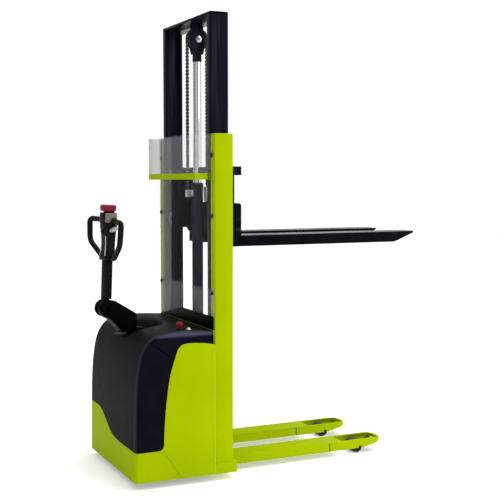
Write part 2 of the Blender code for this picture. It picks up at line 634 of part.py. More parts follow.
def forks(slide):
    """Inverted-channel forks whose open underside drops over the legs, each with an upright shank."""
    skin = 0.005
    heel = 0.130
    nose_start = 1.190
    nose_y = 0.030
    for name, side in SIDES:
        plan = [(heel, FORK_INNER_Y), (nose_start, FORK_INNER_Y), (FORK_TIP, FORK_INNER_Y + nose_y)]
        plan += [(FORK_TIP, FORK_OUTER_Y - nose_y), (nose_start, FORK_OUTER_Y), (heel, FORK_OUTER_Y)]
        plan = [(x, side * y) for x, y in plan]
        fork = outline(f"fork_{name}", plan, "XY", FORK_BOTTOM, FORK_TOP, BLACK_PAINT, slide)
        inner = [(0.0, FORK_BOTTOM - 0.05), (1.150, FORK_BOTTOM - 0.05), (1.150, FORK_TOP - skin)]
        inner.append((0.0, FORK_TOP - skin))
        between = span(side, FORK_INNER_Y + skin, FORK_OUTER_Y - skin)
        hollow = outline(f"fork_{name}_hollow", inner, "XZ", *between, parent=slide)
        rise = [(1.159, FORK_BOTTOM - 0.02), (1.159, FORK_BOTTOM), (FORK_TIP + 0.02, FORK_TOP - 0.004)]
        rise.append((FORK_TIP + 0.02, FORK_BOTTOM - 0.02))
        taper = outline(f"fork_{name}_taper", rise, "XZ", *span(side, 0.10, 0.30), parent=slide)
        shank_side = [(SHANK_REAR, FORK_BOTTOM), (SHANK_FRONT, FORK_BOTTOM)]
        shank_side += arc((SHANK_FRONT - 0.014, SHANK_TOP - 0.014), 0.014, 0, 90, 4) + [(SHANK_REAR, SHANK_TOP)]
        wide = span(side, FORK_INNER_Y, FORK_OUTER_Y)
        shank = outline(f"fork_{name}_shank", shank_side, "XZ", *wide, parent=slide)
        join(fork, shank)
        cut(fork, hollow, taper)


# ---------------------------------------------------------------- drive, castor and tiller
def drive_unit(steer):
    """The gearbox beside the wheel, the motor above it, and the column that the tiller turns."""
    turntable = (0.2255, DECK_Z - GAP)
    unit = cylinder("drive_unit", (STEER_X, 0, sum(turntable) / 2), "Z", 0.095, turntable[1] - turntable[0],
                    BLACK_PAINT, steer)
    gearbox = box("drive_gearbox", (STEER_X - 0.050, STEER_X + 0.050), (0.042, 0.088), (0.050, 0.235), parent=steer)
    motor = cylinder("drive_motor", (STEER_X, 0, 0.3525), "Z", 0.070, 0.215, parent=steer)
    column = cylinder("steering_column", (STEER_X, 0, 0.600), "Z", 0.026, 0.300, parent=steer, sides=24)
    axle = cylinder("drive_axle", (STEER_X, 0.005, WHEEL_RADIUS), "Y", 0.018, 0.080, parent=steer, sides=24)
    join(unit, gearbox, motor, column, axle)
    centre = (STEER_X, 0, WHEEL_RADIUS)
    spin = empty("drive_wheel_axis", centre, steer)
    washer("drive_wheel", centre, "Y", WHEEL_RADIUS, 0.0183, 0.072, RUBBER, spin, 40, round_over=0.006)


def castor():
    """The stabilising castor under the deck: its fork swivels and its wheel rolls."""
    swivel = empty("castor_swivel_axis", (CASTOR_X, CASTOR_Y, DECK_Z), TRUCK)
    axle_x = CASTOR_X - CASTOR_TRAIL
    fork = cylinder("castor_fork", (CASTOR_X, CASTOR_Y, 0.236), "Z", 0.040, 0.026, BLACK_PAINT, swivel, sides=24)
    crown = box("castor_crown", (axle_x - 0.022, CASTOR_X + 0.026), (CASTOR_Y - 0.032, CASTOR_Y + 0.032),
                (0.212, 0.228), parent=swivel)
    arms = [(axle_x - 0.020, CASTOR_RADIUS - 0.016), (axle_x + 0.020, CASTOR_RADIUS - 0.016)]
    arms += [(CASTOR_X + 0.026, 0.226), (axle_x - 0.022, 0.226)]
    cheeks = [outline(f"castor_cheek_{name}", arms, "XZ", *sorted((CASTOR_Y + side * 0.026, CASTOR_Y + side * 0.032)),
                      parent=swivel) for name, side in SIDES]
    centre = (axle_x, CASTOR_Y, CASTOR_RADIUS)
    axle = cylinder("castor_axle", centre, "Y", 0.008, 0.060, parent=swivel, sides=16)
    join(fork, crown, *cheeks, axle)
    spin = empty("castor_wheel_axis", centre, swivel)
    washer("castor_wheel", centre, "Y", CASTOR_RADIUS, 0.0083, 0.046, RUBBER, spin, round_over=0.005)


KNUCKLE = 0.045
CHEEK_INNER = 0.0190
CHEEK_OUTER = 0.0340


def tiller_arm(steer):
    """The arm that carries the tiller's hinge up and back from the steering column."""
    knuckle = arc((TILT_X, TILT_Z), KNUCKLE, 72, 262, 14)
    under = [(-0.4480, 0.8180), (-0.3970, 0.7640), (-0.3880, 0.7520), (-0.2600, 0.7520), (-0.2600, 0.7680)]
    front = [(-0.3020, 0.7740), (-0.3020, 0.8380), (-0.3080, 0.8500), (-0.4300, 0.9230)]
    arm = outline("tiller_arm", knuckle + under + front, "XZ", -CHEEK_OUTER, CHEEK_OUTER, BLACK_PAINT, steer)
    flange = cylinder("tiller_arm_flange", (STEER_X, 0, 0.7600), "Z", 0.040, 0.016, parent=steer)
    slot = cylinder("tiller_arm_slot", (TILT_X, 0, TILT_Z), "Y", KNUCKLE - 0.001, 2 * CHEEK_INNER, parent=steer)
    mouth = box("tiller_arm_mouth", (-0.60, TILT_X + 0.019), (-CHEEK_INNER, CHEEK_INNER), (TILT_Z - 0.022, 1.0),
                parent=steer)
    pin_hole = cylinder("tiller_arm_pin_hole", (TILT_X, 0, TILT_Z), "Y", 0.0083, 0.1, parent=steer, sides=20)
    join(arm, flange)
    cut(arm, slot, mouth, pin_hole)
    pin_length = 0.078
    cylinder("tiller_hinge_pin", (TILT_X, 0, TILT_Z), "Y", 0.008, pin_length, STEEL, steer, sides=20)


TILLER_X = TILT_X + 0.006  # the drawbar's middle line, where the lean carries it over the hinge
HEAD_BOTTOM = 1.136
HEAD_TOP = 1.384
HEAD_HALF_Y = 0.028


def tiller(tilt):
    """The drawbar with its hinge lug, the head, its two grip loops and its controls."""
    lug = cylinder("drawbar_lug", (TILT_X, 0, TILT_Z), "Y", 0.040, 2 * CHEEK_INNER - 0.0012, parent=tilt)
    neck = box("drawbar_neck", (TILT_X - 0.016, TILT_X + 0.0165), (-0.0170, 0.0170), (TILT_Z, 0.945), parent=tilt)
    drawbar = box("tiller_drawbar", (TILLER_X - 0.0175, TILLER_X + 0.0175), (-0.025, 0.025),
                  (0.9325, HEAD_BOTTOM - GAP), BLACK_PAINT, tilt)
    bevel(drawbar, 0.003)
    pin_hole = cylinder("drawbar_pin_hole", (TILT_X, 0, TILT_Z), "Y", 0.0083, 0.1, parent=tilt, sides=20)
    join(drawbar, neck, lug)
    cut(drawbar, pin_hole)

    head_x = TILLER_X + 0.004
    waist, chest = 0.027, 0.036
    rear_side = [(head_x - 0.030, HEAD_BOTTOM), (head_x - waist, 1.225), (head_x - chest, 1.315)]
    front_side = [(head_x + chest, 1.315), (head_x + waist, 1.225), (head_x + 0.028, HEAD_BOTTOM)]
    shape = rear_side + [(head_x - chest, HEAD_TOP), (head_x + chest - 0.004, HEAD_TOP)] + front_side
    head = outline("tiller_head", shape, "XZ", -HEAD_HALF_Y, HEAD_HALF_Y, BLACK_PLASTIC, tilt)
    bevel(head, 0.006)
    collar = bevel(box("tiller_collar", (head_x - 0.036, head_x + 0.032), (-0.038, 0.038),
                       (HEAD_BOTTOM, HEAD_BOTTOM + 0.026), parent=tilt), 0.004)
    boss = box("tiller_head_boss", (head_x - 0.026, head_x + 0.022), (-0.018, 0.018), (HEAD_TOP - 0.004, 1.404),
               parent=tilt)
    join(head, collar, boss)
    grip_loops(tilt, head_x)
    head_controls(tilt, head, head_x)


LOOP_TOP_Z = 1.343


def grip_loops(tilt, head_x):
    """The two closed grips beside the head. Each bows back from its two ends on the head."""
    grip_x = TILLER_X - 0.018
    tube = 0.0130
    for name, side in SIDES:
        corners = [(head_x + 0.006, HEAD_HALF_Y + GAP, LOOP_TOP_Z), (head_x + 0.006, 0.045, LOOP_TOP_Z)]
        corners += [(grip_x, 0.178, 1.342), (grip_x, 0.169, 1.224)]
        corners += [(head_x, 0.068, 1.150), (head_x, 0.038 + GAP, 1.150)]
        corners = [(x, side * y, z) for x, y, z in corners]
        rail(f"grip_loop_{name}", rounded_path(corners, 0.028), tube, BLACK_PLASTIC, tilt)


def head_controls(tilt, head, head_x):
    """The reversing button on top, the pale cheeks, the throttle wings on one shaft, and the lift rocker."""
    press = empty("belly_button_axis", (head_x, 0, 1.404), tilt)
    button = bevel(box("belly_button", (head_x - 0.044, head_x + 0.031), (-0.027, 0.027), (1.3915, 1.426),
                       RED_PLASTIC, press), 0.006)
    cut(button, box("belly_button_hollow", (head_x - 0.030, head_x + 0.025), (-0.021, 0.021), (1.370, 1.411),
                    parent=press))

    cheek = [(head_x - 0.034, 1.336), (head_x - 0.010, 1.336), (head_x - 0.009, 1.3585), (head_x + 0.030, 1.3605)]
    cheek += [(head_x + 0.030, HEAD_TOP - 0.002), (head_x - 0.034, HEAD_TOP - 0.002)]
    for name, side in SIDES:
        plate = outline(f"head_cheek_{name}", cheek, "XZ", *span(side, HEAD_HALF_Y + GAP, HEAD_HALF_Y + 0.007),
                        GREY_PLASTIC, tilt)
        bevel(plate, 0.002, 1)

    throttle_z = 1.298
    turn = empty("throttle_axis", (head_x, 0, throttle_z), tilt)
    cut(head, cylinder("throttle_hole", (head_x, 0, throttle_z), "Y", 0.0070, 0.2, parent=tilt, sides=16))
    throttle = cylinder("throttle", (head_x, 0, throttle_z), "Y", 0.0066, 0.060, GREY_PLASTIC, turn, sides=16)
    wing_side = [(head_x - 0.012, throttle_z - 0.014), (head_x + 0.004, throttle_z - 0.014)]
    wing_side += [(head_x + 0.034, throttle_z + 0.002), (head_x + 0.034, throttle_z + 0.012)]
    wing_side += [(head_x + 0.006, throttle_z + 0.012), (head_x - 0.012, throttle_z - 0.002)]
    for name, side in SIDES:
        join(throttle, outline(f"throttle_wing_{name}", wing_side, "XZ",
                               *span(side, HEAD_HALF_Y + 0.0008, HEAD_HALF_Y + 0.024), parent=turn))

    rocker_z = 1.285
    face_x = head_x - 0.0325
    rock = empty("lift_rocker_axis", (face_x, 0, rocker_z), tilt)
    cut(head, box("lift_rocker_pocket", (face_x - 0.02, face_x + 0.012), (-0.0115, 0.0115),
                  (rocker_z - 0.0165, rocker_z + 0.0165), parent=tilt))
    rocker = cylinder("lift_rocker", (face_x, 0, rocker_z), "Y", 0.0105, 0.021, GREY_PLASTIC, rock, sides=24)
    join(rocker, box("lift_rocker_paddle", (face_x - 0.007, face_x - 0.001), (-0.0105, 0.0105),
                     (rocker_z - 0.0140, rocker_z + 0.0140), parent=rock))


def build():
    base_frame()
    body_sides()
    covers()
    controls_on_hood()
    inside_the_hood()
    outer_mast()
    guards()

    lift = empty("mast_lift_axis", (0, 0, 0), TRUCK)
    lift_cylinder(lift)
    inner_mast(lift)
    chain_pulley(lift)
    chains(lift)
    slide = empty("carriage_lift_axis", (0, 0, 0), lift)
    carriage(slide)
    forks(slide)

    castor()
    steer = empty("steering_axis", (STEER_X, 0, 0), TRUCK)
    drive_unit(steer)
    tiller_arm(steer)
    tilt = empty("tiller_tilt_axis", (TILT_X, 0, TILT_Z), steer)
    tiller(tilt)
    steer.rotation_euler = (0, 0, STEER_REST)
    tilt.rotation_euler = (0, TILLER_LEAN, 0)
    TRUCK.location = (MAST_REAR, 0, 0)


build()
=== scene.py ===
"""The finished look of the walkie stacker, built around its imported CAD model.

Shapes are drawn in mast coordinates: x forward from the rear faces of the mast columns, y to the operator's left and
z up from the floor, in metres. The frame says where those faces are, and how the tiller is turned and leans.
"""

import json
import math

import bmesh
import bpy
from mathutils import Matrix, Vector


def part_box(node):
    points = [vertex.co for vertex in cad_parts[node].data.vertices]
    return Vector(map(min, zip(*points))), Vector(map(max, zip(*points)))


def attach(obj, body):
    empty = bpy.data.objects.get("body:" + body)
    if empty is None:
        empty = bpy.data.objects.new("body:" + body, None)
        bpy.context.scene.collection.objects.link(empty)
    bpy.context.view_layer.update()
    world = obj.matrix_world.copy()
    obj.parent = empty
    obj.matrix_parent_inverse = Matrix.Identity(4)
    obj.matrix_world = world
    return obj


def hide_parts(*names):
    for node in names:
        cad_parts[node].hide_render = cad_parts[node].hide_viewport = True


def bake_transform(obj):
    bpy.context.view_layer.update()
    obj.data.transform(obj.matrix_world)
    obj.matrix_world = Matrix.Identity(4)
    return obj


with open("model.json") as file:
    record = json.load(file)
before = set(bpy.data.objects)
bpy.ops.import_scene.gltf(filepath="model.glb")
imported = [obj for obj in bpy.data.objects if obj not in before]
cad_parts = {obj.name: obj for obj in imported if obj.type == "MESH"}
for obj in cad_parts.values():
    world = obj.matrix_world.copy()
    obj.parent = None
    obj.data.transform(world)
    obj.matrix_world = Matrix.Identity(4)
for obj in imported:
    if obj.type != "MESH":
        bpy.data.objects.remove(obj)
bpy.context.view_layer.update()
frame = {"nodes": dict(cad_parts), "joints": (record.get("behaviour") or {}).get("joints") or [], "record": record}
JOINTS = {joint["name"]: joint for joint in frame["joints"]}
SLOT_OF = {part["node"]: part["material_slot"] for part in frame["record"]["subparts"]}
BODY_OF = {node: body for body, nodes in frame["record"]["behaviour"]["bodies"].items() for node in nodes}
SIDES = (("left", 1), ("right", -1))


# ---------------------------------------------------------------- where things are
def row_to_mast(node, corner, axis):
    """One coordinate of a node's box, in mast coordinates."""
    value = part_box(node)[corner][axis]
    return value - REAR if axis == 0 else value


def middle(node):
    """The middle of a node's box, in mast coordinates."""
    low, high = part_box(node)
    return (low + high) / 2 - Vector((REAR, 0, 0))


def outward(side, near, far):
    """From near to far of the truck's middle, on one side of it."""
    return sorted((side * near, side * far))


def both_ways(half):
    """Half a profile of (radius, height) points, and its mirror image below."""
    return half + [(radius, -height) for radius, height in reversed(half)]


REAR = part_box("outer_mast_left")[0].x
MAST = Matrix.Translation((REAR, 0, 0))
WHEEL_SIDE = Vector(JOINTS["drive_wheel_spin"]["axis"])
STEER_AT = Vector(JOINTS["steering"]["pos_m"])
TILLER_UP = -Vector(JOINTS["belly_button_press"]["axis"])
HINGE_AT = Vector(JOINTS["tiller_tilt"]["pos_m"])
TURN = Matrix.Rotation(math.atan2(-WHEEL_SIDE.x, WHEEL_SIDE.y), 4, "Z")
LEAN = Matrix.Rotation(math.acos(TILLER_UP.z), 4, "Y")
STEERED = Matrix.Translation(STEER_AT) @ TURN @ Matrix.Translation(-STEER_AT) @ MAST
HINGE_X = (STEERED.inverted() @ HINGE_AT).x
HINGE_Z = HINGE_AT.z
HINGE = Vector((HINGE_X, 0, HINGE_Z))
TILTED = STEERED @ Matrix.Translation(HINGE) @ LEAN @ Matrix.Translation(-HINGE)
STEER_X = STEER_AT.x - REAR

COLUMN_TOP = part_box("outer_mast_left")[1].z
COLUMN_DEPTH = row_to_mast("outer_mast_left", 1, 0)
INNER_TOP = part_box("inner_mast")[1].z
PULLEY = Vector(JOINTS["chain_pulley_spin"]["pos_m"]) - Vector((REAR, 0, 0))
CHAIN_REAR_X = (row_to_mast("chain_rear_run", 0, 0) + row_to_mast("chain_rear_run", 1, 0)) / 2
CHAIN_FRONT_X = (row_to_mast("chain_front_run", 0, 0) + row_to_mast("chain_front_run", 1, 0)) / 2
CHAIN_REAR_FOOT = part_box("chain_rear_run")[0].z
CHAIN_FRONT_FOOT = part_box("chain_front_run")[0].z


# ---------------------------------------------------------------- materials
class Nodes:
    """A material's node tree, with short ways to add what the finishes share."""

    def __init__(self, name):
        self.material = bpy.data.materials.new(name)
        self.material.use_nodes = True
        self.tree = self.material.node_tree
        self.shader = self.tree.nodes["Principled BSDF"]
        self.place = self.tree.nodes.new("ShaderNodeTexCoord").outputs["Object"]

    def set(self, **values):
        for name, value in values.items():
            self.shader.inputs[name.replace("_", " ")].default_value = value

    def add(self, kind, source, socket, **values):
        """A new node fed by one output, with some of its other inputs set."""
        made = self.tree.nodes.new("ShaderNode" + kind)
        for name, value in values.items():
            made.inputs[name.replace("_", " ")].default_value = value
        self.tree.links.new(source, made.inputs[socket])
        return made

    def along(self, axis):
        return self.add("SeparateXYZ", self.place, "Vector").outputs[axis]

    def noise(self, scale, detail=4.0, stretch=(1, 1, 1)):
        mapping = self.add("Mapping", self.place, "Vector", Scale=stretch)
        made = self.add("TexNoise", mapping.outputs["Vector"], "Vector", Scale=scale, Detail=detail, Roughness=0.6)
        return made.outputs["Fac"]

    def spread(self, value, low, high, start=0.35, end=0.65):
        """The value, mapped from the middle of its range to low and high."""
        made = self.add("MapRange", value, "Value", From_Min=start, From_Max=end, To_Min=low, To_Max=high)
        return made.outputs["Result"]

    def sum(self, operation, first, second=None):
        made = self.add("Math", first, 0)
        made.operation = operation
        if isinstance(second, float):
            made.inputs[1].default_value = second
        elif second:
            self.tree.links.new(second, made.inputs[1])
        return made.outputs["Value"]

    def mix(self, factor, first, second):
        made = self.tree.nodes.new("ShaderNodeMix")
        made.data_type = "RGBA"
        for name, colour in (("A", first), ("B", second)):
            socket = next(i for i in made.inputs if i.name == name and i.type == "RGBA")
            if isinstance(colour, tuple):
                socket.default_value = (*colour, 1)
            else:
                self.tree.links.new(colour, socket)
        self.tree.links.new(factor, made.inputs["Factor"])
        return next(o for o in made.outputs if o.type == "RGBA")

    def colour(self, output):
        self.tree.links.new(output, self.shader.inputs["Base Color"])

    def rough(self, output):
        self.tree.links.new(output, self.shader.inputs["Roughness"])

    def bump(self, value, strength):
        made = self.add("Bump", value, "Height", Strength=strength, Distance=0.001)
        self.tree.links.new(made.outputs["Normal"], self.shader.inputs["Normal"])


def darker(colour, share):
    return tuple(channel * share for channel in colour)


def finish(name, colour, rough, grain, bump, metallic=0.0, vary=0.12, stretch=(1, 1, 1), scale=6.0, **more):
    """A finish whose colour and roughness drift over the surface, with a fine grain. Colour None is left to add."""
    nodes = Nodes(name)
    nodes.set(Metallic=metallic, **more)
    if colour:
        drift = nodes.spread(nodes.noise(scale, stretch=stretch), 0.0, 1.0)
        nodes.colour(nodes.mix(drift, darker(colour, 1 - vary), darker(colour, 1 + vary / 2)))
    nodes.rough(nodes.spread(nodes.noise(scale * 4, stretch=stretch), rough[0], rough[1]))
    nodes.bump(nodes.noise(grain, detail=2.0, stretch=stretch), bump)
    return nodes


def lime_paint():
    """Powder coat: a faint orange peel, and painted shade that darkens the lime towards the floor."""
    nodes = finish("lime_paint", None, (0.34, 0.46), 900.0, 0.05, scale=2.5, Specular_IOR_Level=0.004)
    unshaded = nodes.mix(nodes.spread(nodes.noise(2.5), 0.0, 1.0), darker(LIME, 0.95), darker(LIME, 1.03))
    # Painted shade: below 0.16 m the lime is mixed, up to 12 %, towards a darker lime, most at the floor.
    low = nodes.spread(nodes.along("Z"), 0.0, 1.0, 0.16, 0.03)
    dust = nodes.spread(low, 0.0, 0.12, 0.0, 1.0)
    nodes.colour(nodes.mix(dust, unshaded, (0.22, 0.28, 0.010)))
    return nodes.material


def black_paint():
    """Gloss black with a blue cast, and faint lighter upright streaks."""
    nodes = finish("black_paint", None, (0.22, 0.36), 700.0, 0.04, scale=5.0, stretch=(1, 1, 0.12),
                   Specular_IOR_Level=0.02)
    streak = nodes.spread(nodes.noise(16.0, detail=3.0, stretch=(1, 1, 0.05)), 0.0, 1.0, 0.52, 0.72)
    nodes.colour(nodes.mix(streak, (0.0030, 0.0038, 0.0075), (0.0190, 0.0215, 0.0340)))
    return nodes.material


def worn_black():
    """The forks' black paint: rubbed along its length, with bare scuffs."""
    nodes = finish("fork_paint", None, (0.16, 0.36), 500.0, 0.05, scale=7.0, stretch=(0.15, 1, 1),
                   Specular_IOR_Level=0.02)
    scuff = nodes.spread(nodes.noise(38.0, detail=8.0, stretch=(0.10, 1, 1)), 0.0, 0.5, 0.62, 0.72)
    base = nodes.mix(nodes.spread(nodes.noise(7.0), 0.0, 1.0), (0.0015, 0.0017, 0.0030), (0.0035, 0.0040, 0.0065))
    nodes.colour(nodes.mix(scuff, base, (0.05, 0.05, 0.053)))
    return nodes.material


def grained_plastic(name, colour, rough, grain=1400.0, bump=0.12, gloss=0.25):
    return finish(name, colour, rough, grain, bump, scale=9.0, vary=0.14, Specular_IOR_Level=gloss).material


def moulded_cover():
    """The hood's plastic, fine grained; painted shade makes its flanks darker and bluer than its grey rear, with
    painted highlights on its edges.
    """
    nodes = finish("cover_plastic", None, (0.46, 0.54), 1500.0, 0.05, scale=9.0, Specular_IOR_Level=0.010)
    off_middle = nodes.sum("ABSOLUTE", nodes.along("Y"))
    # Painted shade: the flanks take a darker, bluer colour than the grey rear and top.
    flank_shade = nodes.spread(off_middle, 0.0, 1.0, 0.382, 0.392)
    ridge_highlight = nodes.spread(off_middle, 0.0, 1.0, 0.355, 0.380)
    shoulder = nodes.spread(nodes.along("Z"), 0.0, 1.0, 0.758, 0.772)
    drift = nodes.spread(nodes.noise(9.0), 0.0, 1.0)
    rear = nodes.mix(drift, (0.0098, 0.0097, 0.0096), (0.0112, 0.0111, 0.0110))
    side = nodes.mix(drift, (0.0030, 0.0032, 0.0060), (0.0046, 0.0048, 0.0085))
    # Painted highlight: a lighter grey on the rear and top near the rounded edges by the flanks.
    rear = nodes.mix(ridge_highlight, rear, (0.024, 0.024, 0.025))
    # Painted highlight: a lighter purple-grey band along the top of each flank.
    side = nodes.mix(shoulder, side, (0.050, 0.051, 0.090))
    nodes.colour(nodes.mix(flank_shade, rear, side))
    return nodes.material


def brushed(name, colour, rough, stretch, metallic=1.0):
    gloss = 0.5 if metallic else 0.15
    return finish(name, colour, rough, 420.0, 0.05, metallic=metallic, stretch=stretch, scale=14.0, vary=0.2,
                  Specular_IOR_Level=gloss).material


def clear_sheet(name, near, far, across, dust=None):
    """A clear sheet. Its haze and tint change across the truck, and dust can add haze below one height."""
    nodes = Nodes(name)
    nodes.set(Specular_IOR_Level=0.12)
    share = nodes.spread(nodes.along("Y"), 0.0, 1.0, *across)
    smear = nodes.spread(nodes.noise(3.0, stretch=(1, 1, 0.4)), 0.0, 1.0)
    tints = [nodes.mix(smear, darker(colour, 0.92), colour) for colour, _ in (near, far)]
    nodes.colour(nodes.mix(share, *tints))
    haze = nodes.spread(share, near[1], far[1], 0.0, 1.0)
    if dust:
        most, low, high = dust
        haze = nodes.sum("ADD", haze, nodes.spread(nodes.along("Z"), 0.0, most, high, low))
    nodes.tree.links.new(haze, nodes.shader.inputs["Alpha"])
    nodes.rough(nodes.spread(nodes.noise(12.0), 0.05, 0.14))
    return nodes.material


LIME = (0.308, 0.406, 0.0002)
PLASTICS = {
    "black_plastic": ((0.0050, 0.0050, 0.0053), (0.36, 0.50), 1100.0, 0.06, 0.07),
    "grey_plastic": ((0.175, 0.168, 0.148), (0.42, 0.55), 900.0, 0.08, 0.12),
    "wing_plastic": ((0.42, 0.41, 0.47), (0.28, 0.40), 900.0, 0.05),
    "red_plastic": ((0.22, 0.005, 0.020), (0.30, 0.42), 900.0, 0.05, 0.10),
    "drawbar_paint": ((0.0060, 0.0065, 0.0070), (0.34, 0.46), 900.0, 0.05, 0.02),
    "roller_core": ((0.060, 0.060, 0.062), (0.34, 0.46), 900.0, 0.04, 0.05),
    # Painted highlight: a pale grey for the lit strips on the top rail and the lit rear edges of the tiller head.
    "highlight_grey": ((0.50, 0.50, 0.50), (0.5, 0.6), 800.0, 0.05),
    # A dark olive for the legs' weld seams, and painted shade inside the legs' noses.
    "seam_and_shade_olive": ((0.045, 0.065, 0.004), (0.6, 0.7), 500.0, 0.05),
    "stop_grey": ((0.035, 0.035, 0.035), (0.4, 0.5), 900.0, 0.05, 0.1),
    "dark_gap": ((0.006, 0.007, 0.003), (0.6, 0.7), 500.0, 0.05),
    "polyurethane": ((0.016, 0.014, 0.012), (0.42, 0.58), 300.0, 0.15, 0.2),
    "battery_case": ((0.03, 0.03, 0.03), (0.5, 0.6)),
}
METALS = {
    "chrome": ((0.86, 0.86, 0.86), (0.04, 0.09), (1, 1, 0.02)),
    "steel": ((0.42, 0.42, 0.43), (0.26, 0.40), (1, 1, 1)),
    "bright_steel": ((0.62, 0.62, 0.62), (0.18, 0.30), (1, 1, 1)),
    "black_steel": ((0.010, 0.010, 0.011), (0.25, 0.36), (1, 1, 1), 0.0),
    "aluminium": ((0.70, 0.70, 0.71), (0.35, 0.48), (1, 0.1, 1)),
}
LOOKS = {name: grained_plastic(name, *values) for name, values in PLASTICS.items()}
LOOKS |= {name: brushed(name, *values) for name, values in METALS.items()}
LOOKS |= {
    "lime_paint": lime_paint(),
    "black_paint": black_paint(),
    "fork_paint": worn_black(),
    "cover_plastic": moulded_cover(),
    # Painted highlight: a brighter lime for the strips along the seams of the columns.
    "lime_edge_highlight": finish("lime_edge_highlight", (0.55, 0.75, 0.02), (0.3, 0.4), 900.0, 0.04, vary=0.04).material,
    "arm_paint": finish(
        "arm_paint", (0.0008, 0.0008, 0.0012), (0.36, 0.50), 900.0, 0.06, Specular_IOR_Level=0.03).material,
    "clear_sheet": clear_sheet(
        "clear_sheet", ((0.80, 0.78, 0.74), 0.010), ((0.27, 0.27, 0.26), 0.220), (0.212, 0.224), (0.070, 0.985, 0.995)),
    "smoked_sheet": clear_sheet(
        "smoked_sheet", ((0.62, 0.66, 0.74), 0.075), ((0.22, 0.22, 0.20), 0.30), (0.24, 0.345)),
}


# ---------------------------------------------------------------- shapes
def sharp_edges(mesh, angle=35):
    limit = math.radians(angle)
    return [e for e in mesh.edges if len(e.link_faces) == 2 and e.calc_face_angle(0) > limit]


def arc(centre, radius, start, end, steps):
    angles = [math.radians(start + (end - start) * i / steps) for i in range(steps + 1)]
    return [(centre[0] + radius * math.cos(a), centre[1] + radius * math.sin(a)) for a in angles]


def smooth_line(points, steps=6):
    """A smooth line through points, in two or three dimensions."""
    points = [Vector(p) for p in points]
    padded = [2 * points[0] - points[1]] + points + [2 * points[-1] - points[-2]]
    line = []
    for a, b, c, d in zip(padded, padded[1:], padded[2:], padded[3:]):
        for i in range(steps):
            t = i / steps
            line.append(
                0.5 * ((2 * b) + (c - a) * t + (2 * a - 5 * b + 4 * c - d) * t**2 + (3 * b - a - 3 * c + d) * t**3)
            )
    return line + [points[-1]]


def rounded(corners, radius, steps=6):
    """A line through corners, with each inner corner eased into a curve that starts up to radius before it."""
    corners = [Vector(c) for c in corners]
    line = [corners[0]]
    for before, corner, after in zip(corners, corners[1:], corners[2:]):
        back, ahead = before - corner, after - corner
        reach = min(radius, 0.48 * back.length, 0.48 * ahead.length)
        start = corner + back.normalized() * reach
        end = corner + ahead.normalized() * reach
        for i in range(steps + 1):
            t = i / steps
            line.append(start * (1 - t) ** 2 + corner * 2 * t * (1 - t) + end * t**2)
    return line + [corners[-1]]


def in_plane(plane, across, up, out):
    return {"XY": (across, up, out), "XZ": (across, out, up), "YZ": (out, across, up)}[plane]


